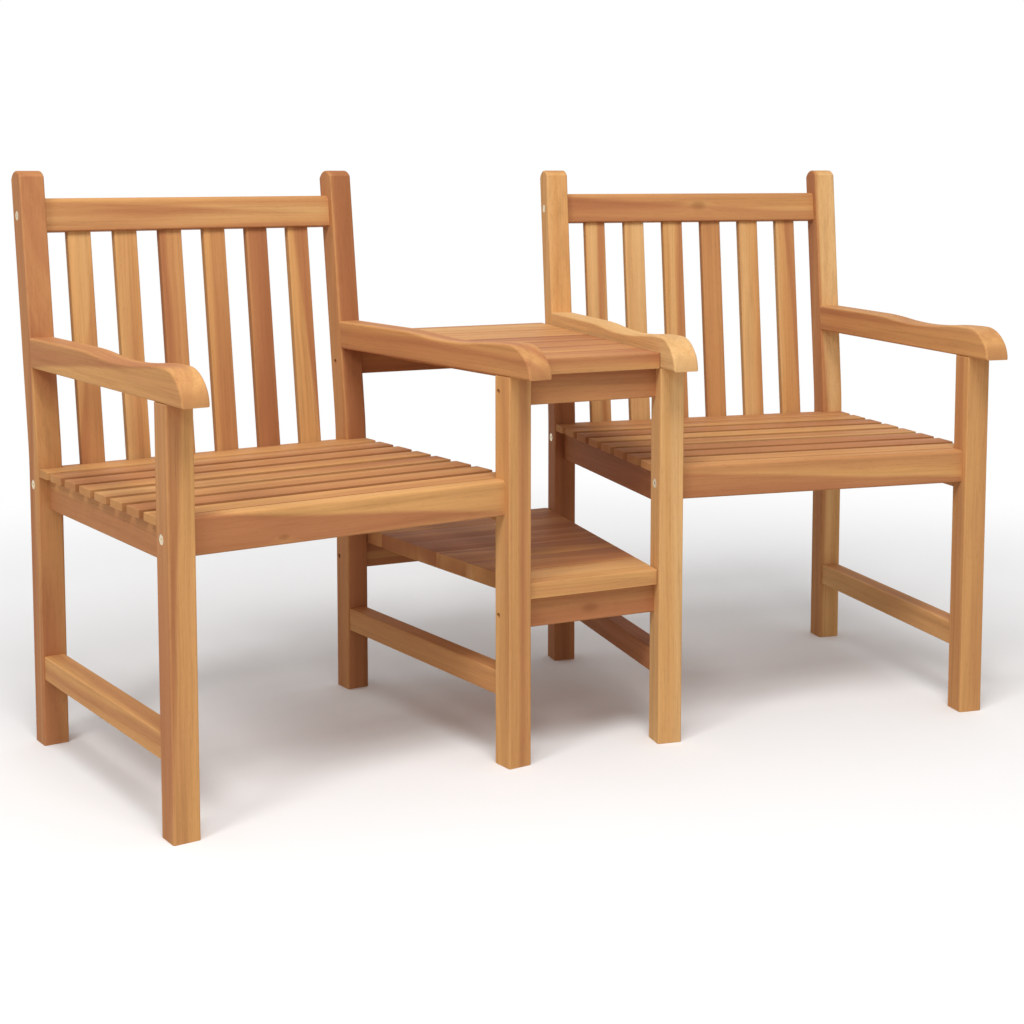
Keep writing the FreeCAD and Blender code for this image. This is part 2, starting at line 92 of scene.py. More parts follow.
SEAT_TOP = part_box("left_seat_slats")[1].z
ARM_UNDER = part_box("left_arm_outer")[0].z
X_OUT = CHAIR_WIDTH / 2
X_IN = X_OUT - LEG
LEG_MIDDLE = X_OUT - LEG / 2
RAIL_SETBACK = LEG - RAIL_THICK
BACK_RAIL_PLACE = BACK_LEG_PLACE + RAIL_SETBACK

# Tiers of the table: height of the boards, depth of their front and rear edge and of the rear apron
Tier = namedtuple("Tier", "top front rear rear_apron")
TIERS = {
    "top": Tier(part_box("top_board_1")[1].z, 2.5 * MM, 569 * MM, 533 * MM),
    "shelf": Tier(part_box("shelf_board_1")[1].z, 7 * MM, 536.5 * MM, 525 * MM),
}
SHIFT_BACK = TIERS["top"].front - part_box("top_board_1")[0].y
SIGNS = {"left": -1, "right": 1}


def chair_place(side):
    """Matrix from a chair's own frame to the set; side is -1 for the left chair and 1 for the right."""
    to_corner = Matrix.Translation((side * FRONT_GAP / 2, -SHIFT_BACK, 0))
    turn = Matrix.Rotation(-side * TURN_IN, 4, "Z")
    return to_corner @ turn @ Matrix.Translation((side * X_OUT, 0, 0))


CHAIRS = {side: chair_place(sign) for side, sign in SIGNS.items()}
SET_PLACE = Matrix.Translation((0, -SHIFT_BACK, 0))


def chair_sides():
    """The chairs' names and places, with the hand of each of their sides and its sign on x."""
    for side, place in CHAIRS.items():
        for hand, sign in (("outer", SIGNS[side]), ("inner", -SIGNS[side])):
            yield side, place, hand, sign


def raked(y, run):
    """Depth and height of a point of the leaning back that is drawn as if it stood upright."""
    back = y - BACK_LEG_PLACE
    up = run - BEND_HEIGHT
    return (
        BACK_LEG_PLACE + back * math.cos(RAKE) + up * math.sin(RAKE),
        BEND_HEIGHT - back * math.sin(RAKE) + up * math.cos(RAKE),
    )


def table_half(depth):
    """Half the space between the chairs at a depth."""
    return FRONT_GAP / 2 + depth * math.tan(TURN_IN)


# Sizes and colours that a user may change


def number(name, description, default, **more):
    return bpy.props.FloatProperty(name=name, description=description, default=default, **more)


def length(name, description, default):
    return number(name, description, default, min=0.0, unit="LENGTH", precision=4)


def colour(name, description, default):
    return bpy.props.FloatVectorProperty(
        name=name, description=description, default=default, size=3, min=0.0, max=1.0, subtype="COLOR"
    )


class SlatSizes(bpy.types.PropertyGroup):
    """Sizes of the seat slats and the back slats"""

    seat_count: bpy.props.IntProperty(name="Seat slats", description="Plain slats of a seat", default=7)
    seat_width: length("Seat slat width", "Width of a seat slat", 44.0625 * MM)
    seat_gap: length("Seat slat gap", "Gap between the seat slats", 16.5 * MM)
    seat_thick: length("Seat slat thickness", "Thickness of a seat slat", SEAT_SLAT_THICK)
    seat_length: length("Seat slat length", "Length of a seat slat", SEAT_SLAT_LENGTH)
    seat_start: length("First seat slat", "Front edge of the first slat", 42.5 * MM)
    seat_ease: length("Seat slat rounding", "Rounding of the long edges", 1.0 * MM)
    back_count: bpy.props.IntProperty(name="Back slats", description="Slats of a back", default=6)
    back_width: length("Back slat width", "Width of a back slat", 39 * MM)
    back_thick: length("Back slat thickness", "Thickness of a back slat", 12.5 * MM)
    back_ease: length("Back slat rounding", "Rounding of the long edges", 2 * MM)
    end_ease: length("End rounding", "Rounding of the cut ends", 0.8 * MM)


class BoardSizes(bpy.types.PropertyGroup):
    """Sizes of the table and shelf boards"""

    thick: length("Board thickness", "Thickness of the boards", 24 * MM)
    joint: length("Glue line", "Width of the joint between two boards", 0.2 * MM)
    ease: length("Edge rounding", "Rounding of the front and rear edge of a tier", 3.5 * MM)
    joint_ease: length("Joint rounding", "Rounding of the boards at the glue lines", 0.5 * MM)
    end_ease: length("End rounding", "Rounding of the cut ends", 0.4 * MM)
    clear: length("End clearance", "Board ends to the chairs", 1 * MM)


class ArmSizes(bpy.types.PropertyGroup):
    """Sizes of the arms"""

    nose: length("Nose", "How far the nose stands in front of the leg", 53.5 * MM)
    nose_radius: length("Nose radius", "Radius at the tip of the nose", 41 * MM)
    hump: length("Hump thickness", "Thickness over the front leg", 49 * MM)
    dip: length("Dip thickness", "Thickness at the dip", 40 * MM)
    rear: length("Rear thickness", "Thickness of the level rear part", 46.5 * MM)
    ease: length("Arm rounding", "Rounding of the long edges", 3.5 * MM)


class FixingSizes(bpy.types.PropertyGroup):
    """Sizes of the bolts, nuts and screws"""

    bolt_head: length("Bolt head", "Diameter of a bolt head", 15 * MM)
    bolt_head_thick: length("Bolt head thickness", "Thickness of a bolt head", 2.2 * MM)
    bolt_sink: length("Bolt head sink", "Depth of the seat for a bolt head", 2.5 * MM)
    bolt_key: length("Bolt key", "Width of the hexagon socket over its corners", 5 * MM)
    nut: length("Barrel nut", "Diameter of a barrel nut", 10 * MM)
    screw_head: length("Screw head", "Diameter of a screw head", 7.6 * MM)
    screw_sink: length("Screw sink", "Depth of the sunk holes in the legs", 9 * MM)


class TeakLook(bpy.types.PropertyGroup):
    """Colours and grain of the teak"""

    golden: colour("Golden wood", "Light heartwood", (0.69, 0.36, 0.132))
    brown: colour("Brown wood", "Reddish heartwood", (0.460, 0.188, 0.080))
    sapwood: colour("Sapwood", "Pale yellow streaks", (0.77, 0.47, 0.205))
    vein: colour("Vein", "Dark lines of the growth rings and pores", (0.22, 0.077, 0.026))
    # Pale edge colour: partly rubbed wood, partly a painted highlight on the rounded edges
    worn: colour("Worn edge", "Wood rubbed pale along the edges", (0.74, 0.42, 0.17))
    grain: number("Grain", "Strength of the lines", 1.0, min=0.0, max=2.0, subtype="FACTOR")
    bands: number("Bands", "Contrast of the colour bands", 0.6, min=0.0, max=2.0, subtype="FACTOR")


class MetalLook(bpy.types.PropertyGroup):
    """Colours of the fixings"""

    bolt: colour("Bolt", "Yellow zinc plate", (0.83, 0.71, 0.50))
    steel: colour("Steel", "Screws and nuts", (0.42, 0.40, 0.37))


class StageLook(bpy.types.PropertyGroup):
    """Camera, lamps and floor"""

    camera: bpy.props.FloatVectorProperty(
        name="Camera", description="Place of the camera", default=(-1.2856, -2.5755, 0.9029), size=3,
        unit="LENGTH",
    )
    yaw: number("Yaw", "Turn of the camera to the right", math.radians(25.89), subtype="ANGLE")
    pitch: number("Pitch", "Tilt of the camera down", math.radians(5.60), subtype="ANGLE")
    lens: number("Lens", "Focal length", 62.42, min=1.0, unit="CAMERA")
    shift: number("Shift", "Upright shift of the lens", -0.165)
    sky: number("Sky", "Level of the even light from all round", 0.56, min=0.0)
    key: number("Key lamp", "Power of the large lamp at the front", 95.0, min=0.0, unit="POWER")
    side: number("Side lamp", "Power of the lamp at the left", 50.0, min=0.0, unit="POWER")
    floor: colour("Floor", "Colour of the floor", (0.92, 0.92, 0.92))
    bounce: colour("Floor bounce", "Colour of the floor in the light it throws back", (0.68, 0.67, 0.66))


# Node trees


class Wires:
    """Shorthand for adding nodes to a tree and wiring them."""

    def __init__(self, tree):
        self.tree = tree

    def put(self, socket, value):
        """Links a socket, or sets a plain value."""
        if isinstance(value, bpy.types.NodeSocket):
            self.tree.links.new(value, socket)
        else:
            socket.default_value = value

    def node(self, kind, values=(), **settings):
        """New node with its settings, and with values on the sockets of these names or numbers."""
        made = self.tree.nodes.new(kind)
        for key, value in settings.items():
            setattr(made, key, value)
        for socket, value in dict(values).items():
            self.put(made.inputs[socket], value)
        return made

    def add(self, kind, values=(), **settings):
        """First output of a new node."""
        return self.node(kind, values, **settings).outputs[0]

    def math(self, operation, *values, clamp=False):
        return self.add("ShaderNodeMath", enumerate(values), operation=operation, use_clamp=clamp)

    def times(self, first, second, clamp=False):
        return self.math("MULTIPLY", first, second, clamp=clamp)

    def times_plus(self, first, second, third, clamp=False):
        return self.math("MULTIPLY_ADD", first, second, third, clamp=clamp)

    def vector(self, operation, *values):
        made = self.node("ShaderNodeVectorMath", enumerate(values), operation=operation)
        return made.outputs["Value" if operation in {"LENGTH", "DOT_PRODUCT"} else "Vector"]

    def stretch(self, vector, along, across):
        return self.vector("MULTIPLY", vector, (along, across, across))

    def split(self, vector):
        return self.node("ShaderNodeSeparateXYZ", {0: vector}).outputs

    def join(self, *parts):
        return self.add("ShaderNodeCombineXYZ", enumerate(parts))

    def noise(self, vector, detail=2.0, roughness=0.5, scale=1.0, output=0):
        return self.node("ShaderNodeTexNoise", {
            "Vector": vector, "Scale": scale, "Detail": detail, "Roughness": roughness,
        }).outputs[output]

    def step(self, value, low, high, start=0.0, end=1.0):
        """Smooth step from start to end as the value goes from low to high."""
        return self.add("ShaderNodeMapRange", {
            "Value": value, "From Min": low, "From Max": high, "To Min": start, "To Max": end,
        }, interpolation_type="SMOOTHSTEP")

    def blend(self, factor, first, second):
        return self.node("ShaderNodeMix", {0: factor, 6: first, 7: second}, data_type="RGBA").outputs[2]

    def group(self, tree, values):
        return self.node("ShaderNodeGroup", values, node_tree=tree).outputs


def new_tree(name, kind, inputs, outputs):
    """Node tree with sockets named by kind; returns its wires and the sockets inside it."""
    tree = bpy.data.node_groups.new(name, kind)
    for way, sockets in (("INPUT", inputs), ("OUTPUT", outputs)):
        for socket, titles in sockets.items():
            for title in titles.split(", "):
                tree.interface.new_socket(name=title, in_out=way, socket_type="NodeSocket" + socket)
    wires = Wires(tree)
    return wires, wires.node("NodeGroupInput").outputs, wires.node("NodeGroupOutput").inputs


# Effects that the materials share

# Growth rings, colour bands and pale bands in a metre across the grain
RINGS = 150.0
BANDS = 34.0
PALE_BANDS = 21.0
# How dark the ends of the rings, fine and soft lines, pores and knots are
RING_DARK, FINE_DARK, SOFT_DARK, PORE_DARK, KNOT_DARK = 0.08, 0.19, 0.24, 0.14, 0.5


def teak_grain():
    """Sawn teak as a solid: rings round a pith that runs along x, colour bands, lines and pores."""
    wires, given, out = new_tree("Teak grain", "ShaderNodeTree", {
        "Vector": "Vector, Lot, Split Way, Knot",
        "Color": "Golden, Brown, Sapwood, Vein",
        "Float": "Tone, Bands, Grain, Clouds, Split Place, Split, Knot Size",
    }, {"Color": "Color", "Float": "Roughness, Height"})
    place = wires.vector("ADD", given["Vector"], given["Lot"])
    # The rings wander a little along the piece
    slow = wires.noise(wires.stretch(place, 2.2, 11.0), output=1)
    wander = wires.stretch(wires.vector("SUBTRACT", slow, (0.5, 0.5, 0.5)), 0.0, 0.022)
    wavy = wires.vector("ADD", place, wander)
    along, across, deep = wires.split(wavy)
    # A knot pushes the rings aside
    apart = wires.stretch(wires.vector("SUBTRACT", given["Vector"], given["Knot"]), 0.5, 1.0)
    least = wires.math("MAXIMUM", given["Knot Size"], 0.0001)
    ratio = wires.math("DIVIDE", wires.vector("LENGTH", apart), least)
    near = wires.math("EXPONENT", wires.times(wires.math("POWER", ratio, 2.0), -0.35))
    has_knot = wires.math("GREATER_THAN", given["Knot Size"], 0.0005)
    knot = wires.times(wires.step(ratio, 0.2, 1.2, 1.0, 0.0), has_knot)
    pushed = wires.times(near, wires.times(given["Knot Size"], 0.9))
    radius = wires.math("ADD", wires.vector("LENGTH", wires.join(0.0, across, deep)), pushed)
    # Broad bands of golden and brown wood, and the border of sapwood and heartwood, which a few pieces use
    # for painted shade
    band = wires.noise(wires.join(wires.times(along, 0.55), wires.times(radius, BANDS), 0.0), 2.0, 0.45)
    band = wires.step(band, 0.38, 0.62, -0.5, 0.5)
    tone = wires.times_plus(band, given["Bands"], given["Tone"])
    cloud = wires.noise(wires.stretch(place, 3.0, 14.0), 1.0)
    tone = wires.times_plus(wires.math("SUBTRACT", cloud, 0.5), given["Clouds"], tone)
    border = wires.vector("DOT_PRODUCT", wires.vector("ADD", given["Vector"], wander), given["Split Way"])
    border = wires.step(wires.math("SUBTRACT", border, given["Split Place"]), -0.004, 0.004, -0.5, 0.5)
    tone = wires.times_plus(border, given["Split"], tone)
    wood = wires.blend(tone, given["Golden"], given["Brown"])
    wood = wires.blend(wires.times_plus(tone, 0.5, -0.5, clamp=True), wood, given["Vein"])
    pale = wires.noise(wires.join(wires.times(along, 0.4), wires.times(radius, PALE_BANDS), 7.0), 1.0)
    pale = wires.times(wires.step(pale, 0.52, 0.70), wires.math("SUBTRACT", 0.75, tone, clamp=True))
    pale = wires.math("MAXIMUM", pale, wires.times(tone, -1.0), clamp=True)
    wood = wires.blend(pale, wood, given["Sapwood"])
    # Growth rings: each ends in a thin dark line
    uneven = wires.noise(wires.join(along, wires.times(radius, 60.0), 3.0), 1.0)
    ring = wires.math("FRACT", wires.times_plus(radius, RINGS, wires.times(uneven, 1.8)))
    line = wires.times(wires.math("POWER", ring, 2.5), wires.step(ring, 0.88, 1.0, 1.0, 0.0))
    # Fine lines and open pores drawn out along the grain
    streak = wires.noise(wires.stretch(wavy, 7.0, 430.0), 3.0, 0.6)
    pore = wires.step(wires.noise(wires.stretch(wavy, 70.0, 1500.0), 1.0), 0.60, 0.72)
    soft = wires.noise(wires.stretch(wavy, 2.0, 90.0), 3.0)
    dark = wires.times(line, RING_DARK)
    dark = wires.times_plus(wires.step(streak, 0.42, 0.80), FINE_DARK, dark)
    dark = wires.times_plus(wires.step(soft, 0.42, 0.82), SOFT_DARK, dark)
    dark = wires.times_plus(pore, PORE_DARK, dark)
    dark = wires.times(dark, given["Grain"], clamp=True)
    dark = wires.math("MAXIMUM", dark, wires.times(knot, KNOT_DARK))
    wires.put(out["Color"], wires.blend(dark, wood, given["Vein"]))
    wires.put(out["Roughness"], wires.times_plus(pore, 0.14, wires.times_plus(streak, 0.16, 0.50)))
    height = wires.times_plus(line, -0.35, wires.times(streak, 0.4))
    wires.put(out["Height"], wires.times_plus(pore, -0.8, height))
    return wires.tree


def worn_edges():
    """Mask along the edges of a piece that is given by its half sizes, for rubbed wood and a painted
    highlight.
    """
    wires, given, out = new_tree(
        "Worn edges", "ShaderNodeTree", {"Vector": "Vector, Half Size", "Float": "Width"}, {"Float": "Mask"}
    )
    inside = wires.vector("SUBTRACT", given["Half Size"], wires.vector("ABSOLUTE", given["Vector"]))
    first, second, third = wires.split(inside)
    low = wires.math("MINIMUM", first, second)
    high = wires.math("MAXIMUM", first, second)
    from_edge = wires.math("MAXIMUM", low, wires.math("MINIMUM", high, third))
    rubbed = wires.noise(given["Vector"], 3.0, 0.6, 38.0)
    reach = wires.times(given["Width"], wires.step(rubbed, 0.30, 0.70, 0.4, 1.6))
    wires.put(out["Mask"], wires.step(wires.math("DIVIDE", from_edge, reach), 0.25, 1.0, 1.0, 0.0))
    return wires.tree


def end_grain():
    """Mask on the faces that are cut across the grain."""
    wires, given, out = new_tree("End grain", "ShaderNodeTree", {"Vector": "Along"}, {"Float": "Mask"})
    facing = wires.node("ShaderNodeNewGeometry").outputs["True Normal"]
    across = wires.math("ABSOLUTE", wires.vector("DOT_PRODUCT", facing, given["Along"]))
    wires.put(out["Mask"], wires.step(across, 0.75, 0.97))
    return wires.tree


def straight_leg():
    """Takes the lean out of the upper part of a back leg, so that its edges can be found."""
    wires, given, out = new_tree(
        "Straight leg", "ShaderNodeTree", {"Vector": "Vector", "Float": "Bend"}, {"Vector": "Vector"}
    )
    up, back, aside = wires.split(given["Vector"])
    above = wires.math("MAXIMUM", wires.math("SUBTRACT", up, given["Bend"]), 0.0)
    back = wires.times_plus(above, -math.tan(RAKE), back)
    wires.put(out["Vector"], wires.join(up, back, aside))
    return wires.tree


def shared(make):
    """The tree of a shared effect, made the first time it is asked for."""
    title = make.__name__.replace("_", " ").capitalize()
    return bpy.data.node_groups.get(title) or make()


# Materials

# How far the pale edges reach, and how strongly they, cut ends and pores show; the pale edges are partly
# rubbed wood and partly a painted highlight
RUBBED_SHEEN_WIDTH = 3 * MM
RUBBED_SHEEN = 0.12
CUT_QUIET = 0.7
CUT_DARK = 0.16
CUT_ROUGH = 0.12
PORE_DEPTH = 0.4 * MM
PORE_STRENGTH = 0.35
TEAK_GLOSS = 0.06
CLOUDS = 0.5


def emptied(owner):
    """Takes all nodes out of a material or world and returns its wires."""
    owner.use_nodes = True
    owner.node_tree.nodes.clear()
    return Wires(owner.node_tree)


def new_material(name):
    """Material with a Principled shader; returns it with its wires and the shader's inputs."""
    material = bpy.data.materials.new(name)
    wires = emptied(material)
    shader = wires.node("ShaderNodeBsdfPrincipled")
    wires.node("ShaderNodeOutputMaterial", {"Surface": shader.outputs[0]})
    return material, wires, shader.inputs


def rgba(colour_property, level=1.0):
    return (*[channel * level for channel in colour_property], 1.0)


def roughen(wires, shader, strength, distance, height):
    values = {"Strength": strength, "Distance": distance, "Height": height}
    wires.put(shader["Normal"], wires.add("ShaderNodeBump", values))


def teak_surface(wires, shader, along, edge_vector, size, values, stain=0.0):
    """Grain, end grain, rubbed edges with a painted highlight, and painted shade on the long side faces;
    the values are inputs of the grain.
    """
    look = bpy.context.scene.garden_teak
    half_size = [part / 2 for part in size]
    cut = wires.group(shared(end_grain), {"Along": along})["Mask"]
    # Grain, bands and borders show less on the cut ends
    quiet = wires.times_plus(cut, -CUT_QUIET, 1.0)
    strengths = {"Grain": look.grain, "Bands": look.bands, "Split": values["Split"]}
    grain = wires.group(shared(teak_grain), {
        "Golden": rgba(look.golden), "Brown": rgba(look.brown), "Sapwood": rgba(look.sapwood),
        "Vein": rgba(look.vein), "Clouds": CLOUDS, **values,
        **{name: wires.times(quiet, strength) for name, strength in strengths.items()},
    })
    worn = wires.group(shared(worn_edges), {
        "Vector": edge_vector, "Half Size": half_size, "Width": RUBBED_SHEEN_WIDTH,
    })["Mask"]
    # Edges lightened towards the pale edge colour: partly rubbed wood, partly a painted highlight
    wood = wires.blend(wires.times(worn, RUBBED_SHEEN), grain["Color"], rgba(look.worn))
    wood = wires.blend(wires.times(cut, CUT_DARK), wood, rgba(look.vein))
    # Painted shade: the long side faces are darkened towards the vein colour, as in the gaps between slats
    if stain:
        side = wires.math("ABSOLUTE", wires.split(edge_vector)[1])
        side = wires.step(side, half_size[1] - 1.5 * MM, half_size[1] - 0.3 * MM)
        wood = wires.blend(wires.times(side, stain), wood, rgba(look.vein))
    wires.put(shader["Base Color"], wood)
    wires.put(shader["Roughness"], wires.times_plus(cut, CUT_ROUGH, grain["Roughness"]))
    roughen(wires, shader, PORE_STRENGTH, PORE_DEPTH, grain["Height"])
    shader["Specular IOR Level"].default_value = TEAK_GLOSS


def lot_of(name):
    """Where in its log a piece is cut: a fixed choice for each name."""
    chance = random.Random(name)
    pith = chance.uniform(0.07, 0.16)
    angle = chance.uniform(0, 2 * math.pi)
    return (chance.uniform(-3, 3), pith * math.cos(angle), pith * math.sin(angle))


# For each way of the grain: the turn to it, and the order of the sizes along it
ALONG = {
    "x": (Matrix.Identity(3), (0, 1, 2)),
    "y": (Matrix.Rotation(math.radians(90), 3, "Z"), (1, 0, 2)),
    "z": (Matrix.Rotation(math.radians(-90), 3, "Y"), (2, 1, 0)),
}


def piece_material(name, place, middle, size, along, lean=0.0, bend=None):
    """Teak for one piece: its grain runs along one of the axes of the chair or the set."""
    material, wires, shader = new_material("teak_" + name)
    along_turn, order = ALONG[along]
    turn = place.to_3x3() @ Matrix.Rotation(-lean, 3, "X") @ along_turn
    vector = wires.add("ShaderNodeMapping", {
        "Vector": wires.node("ShaderNodeTexCoord").outputs["Object"],
        "Location": place @ Vector(middle),
        "Rotation": turn.to_euler("XYZ"),
    }, vector_type="TEXTURE")
    edge_vector = vector
    if bend is not None:
        edge_vector = wires.group(shared(straight_leg), {"Vector": vector, "Bend": bend})["Vector"]
    way, split_place, split = SPLITS.get(name, ((0, 0, 1), 0.0, 0.0))
    knot, knot_size = KNOTS.get(name, ((0, 0, 0), 0.0))
    teak_surface(wires, shader, turn.col[0], edge_vector, [size[axis] for axis in order], {
        "Vector": vector, "Lot": lot_of(name), "Tone": TONES[name], "Split Way": way,
        "Split Place": split_place, "Split": split, "Knot": knot, "Knot Size": knot_size,
    })
    return material


def row_material(name, along, size, stain=0.0, clouds=CLOUDS):
    """Teak for a row of slats or boards, which carry their own grain, lot, tone and split."""
    material, wires, shader = new_material("teak_" + name)

    def own(attribute, output="Vector"):
        return wires.node("ShaderNodeAttribute", attribute_name=attribute).outputs[output]

    vector = own("grain")
    place, strength, tilt = wires.split(own("split"))
    teak_surface(wires, shader, along, vector, size, {
        "Vector": vector, "Lot": own("lot"), "Tone": own("tone", "Fac"), "Clouds": clouds,
        "Split Way": wires.join(tilt, 1.0, 0.0), "Split Place": place, "Split": strength,
    }, stain)
    return material


def metal_material(name, colour_property, roughness):
    """Plated metal with fine turning marks and a dulled, uneven film."""
    material, wires, shader = new_material(name)
    place = wires.node("ShaderNodeTexCoord").outputs["Object"]
    film = wires.noise(place, 3.0, 0.6, 420.0)
    marks = wires.noise(place, scale=2600.0)
    tint = wires.blend(wires.step(film, 0.35, 0.75), rgba(colour_property), rgba(colour_property, 0.62))
    wires.put(shader["Base Color"], tint)
    wires.put(shader["Roughness"], wires.times_plus(film, 0.25, roughness))
    roughen(wires, shader, 0.2, 0.1 * MM, marks)
    shader["Metallic"].default_value = 1.0
    return material


# Geometry Nodes trees

EDGE_STEPS = 6
BOLT_SIDES = 48
KEY_SIDES = 6
SCREW_SIDES = 32


def geometry_tree(name, **sockets):
    """Tree that takes geometry, a material and the sockets, and gives geometry."""
    inputs = {"Geometry": "Geometry", **sockets, "Material": "Material"}
    return new_tree(name, "GeometryNodeTree", inputs, {"Geometry": "Geometry"})


def coloured(wires, given, out, geometry):
    """Ends a tree with its material."""
    values = {"Geometry": geometry, "Material": given["Material"]}
    wires.put(out["Geometry"], wires.add("GeometryNodeSetMaterial", values))
    return wires.tree


def rounded_bar(wires, given, front, rear):
    """Bar along x with its front and rear edges rounded, which keeps its own coordinates as its grain."""
    outline = wires.add(
        "GeometryNodeCurvePrimitiveQuadrilateral", {"Width": given["Width"], "Height": given["Thickness"]}
    )
    place = wires.add("GeometryNodeInputPosition")
    at_rear = wires.math("GREATER_THAN", wires.split(place)[0], 0.0)
    radius = wires.times_plus(at_rear, wires.math("SUBTRACT", rear, front), front)
    rounded = wires.add(
        "GeometryNodeFilletCurve", {"Curve": outline, "Radius": radius, "Count": EDGE_STEPS}, mode="POLY"
    )
    half = wires.times(given["Length"], 0.5)
    line = wires.add("GeometryNodeCurvePrimitiveLine", {
        "Start": wires.join(wires.times(half, -1.0), 0.0, 0.0), "End": wires.join(half, 0.0, 0.0),
    })
    level = wires.add("GeometryNodeSetCurveNormal", {"Curve": line}, mode="Z_UP")
    swept = wires.add(
        "GeometryNodeCurveToMesh", {"Curve": level, "Profile Curve": rounded, "Fill Caps": True}
    )
    return wires.add(
        "GeometryNodeStoreNamedAttribute", {"Geometry": swept, "Name": "grain", "Value": place},
        data_type="FLOAT_VECTOR", domain="POINT",
    )


def row_of_bars():
    """Bars with rounded edges on the given points, with ends that may fan out, set in place."""
    wires, given, out = geometry_tree(
        "Row of bars", Float="Length, Width, Thickness, Rounding, Outer Rounding, Fan, Turn",
        Vector="Bar Turn, Place",
    )
    points = given["Geometry"]
    place_in_row = wires.add("GeometryNodeInputIndex")
    count = wires.node("GeometryNodeAttributeDomainSize", {"Geometry": points}, component="MESH")
    last = wires.math("SUBTRACT", count.outputs["Point Count"], 1.0)
    after_first = wires.math("GREATER_THAN", place_in_row, 0.5)
    inner = wires.times(after_first, wires.math("LESS_THAN", place_in_row, last))
    plain, outer = given["Rounding"], given["Outer Rounding"]
    rows = wires.node("GeometryNodeJoinGeometry")
    for chosen, front, rear in (
        (wires.math("LESS_THAN", place_in_row, 0.5), outer, plain),
        (inner, plain, plain),
        (wires.math("COMPARE", place_in_row, last, 0.1), plain, outer),
    ):
        bar = rounded_bar(wires, given, front, rear)
        wires.put(rows.inputs[0], wires.add("GeometryNodeInstanceOnPoints", {
            "Points": points, "Selection": chosen, "Instance": bar, "Rotation": given["Bar Turn"],
        }))
    realised = wires.add("GeometryNodeRealizeInstances", {"Geometry": rows.outputs[0]})
    # Ends that follow the faces of the chairs
    x, y, z = wires.split(wires.add("GeometryNodeInputPosition"))
    fanned = wires.times(x, wires.times_plus(y, given["Fan"], 1.0))
    moved = wires.add(
        "GeometryNodeSetPosition", {"Geometry": realised, "Position": wires.join(fanned, y, z)}
    )
    return coloured(wires, given, out, wires.add("GeometryNodeTransform", {
        "Geometry": moved, "Translation": given["Place"], "Rotation": wires.join(0.0, 0.0, given["Turn"]),
    }))


def head_on_points(wires, given, out, head):
    """Puts a head on each point, turned to the way that the point faces, and ends the tree."""
    facing = wires.add("GeometryNodeInputNamedAttribute", {"Name": "facing"}, data_type="FLOAT_VECTOR")
    aimed = wires.add("FunctionNodeAlignRotationToVector", {"Vector": facing}, axis="Z")
    row = wires.add(
        "GeometryNodeInstanceOnPoints", {"Points": given["Geometry"], "Instance": head, "Rotation": aimed}
    )
    return coloured(wires, given, out, wires.add("GeometryNodeRealizeInstances", {"Geometry": row}))


def lifted(wires, geometry, height):
    values = {"Geometry": geometry, "Translation": wires.join(0.0, 0.0, height)}
    return wires.add("GeometryNodeTransform", values)


def round_bar(wires, radius, height, sides):
    """Upright cylinder that stands on the origin."""
    bar = wires.add("GeometryNodeMeshCylinder", {"Radius": radius, "Depth": height, "Vertices": sides})
    return lifted(wires, bar, wires.times(height, 0.5))


def cut_from(wires, body, *cutters):
    cut = wires.node("GeometryNodeMeshBoolean", {0: body}, operation="DIFFERENCE", solver="EXACT")
    for cutter in cutters:
        wires.put(cut.inputs[1], cutter)
    return cut.outputs[0]


def socket_heads():
    """Flat round bolt heads with a hexagon socket."""
    wires, given, out = geometry_tree("Socket heads", Float="Radius, Height, Key, Key Depth")
    head = round_bar(wires, given["Radius"], given["Height"], BOLT_SIDES)
    key = round_bar(wires, wires.times(given["Key"], 0.5), wires.times(given["Key Depth"], 2.0), KEY_SIDES)
    key = lifted(wires, key, wires.math("SUBTRACT", given["Height"], given["Key Depth"]))
    return head_on_points(wires, given, out, cut_from(wires, head, key))


def slotted_heads():
    """Round heads with a slot, or with two that cross."""
    wires, given, out = geometry_tree(
        "Slotted heads", Float="Radius, Height, Slot, Slot Width, Slot Depth, Crossed"
    )
    head = round_bar(wires, given["Radius"], given["Height"], SCREW_SIDES)
    deep = wires.times(given["Slot Depth"], 2.0)
    other = wires.times_plus(given["Slot"], given["Crossed"], given["Slot Width"])
    slots = []
    for long, wide in ((given["Slot"], given["Slot Width"]), (given["Slot Width"], other)):
        slot = wires.add("GeometryNodeMeshCube", {"Size": wires.join(long, wide, deep)})
        slots.append(lifted(wires, slot, given["Height"]))
    return head_on_points(wires, given, out, cut_from(wires, head, *slots))


# Pieces

EASE_ANGLE = math.radians(50)
SAME_PLACE = 0.002 * MM
# Length added to bars in their mask of rubbed edges and painted highlight where their ends are hidden, so
# that these show none
HIDDEN_ENDS = 200 * MM


def add_object(name, data):
    made = bpy.data.objects.new(name, data)
    bpy.context.scene.collection.objects.link(made)
    return made


def points_mesh(name, places, vectors, numbers=None):
    """Loose points with named vectors and numbers, for a tree to build on."""
    mesh = bpy.data.meshes.new(name)
    mesh.from_pydata([tuple(place) for place in places], [], [])
    for title, values in vectors.items():
        stored = mesh.attributes.new(title, "FLOAT_VECTOR", "POINT")
        stored.data.foreach_set("vector", [part for value in values for part in value])
    for title, values in (numbers or {}).items():
        stored = mesh.attributes.new(title, "FLOAT", "POINT")
        stored.data.foreach_set("value", values)
    return mesh


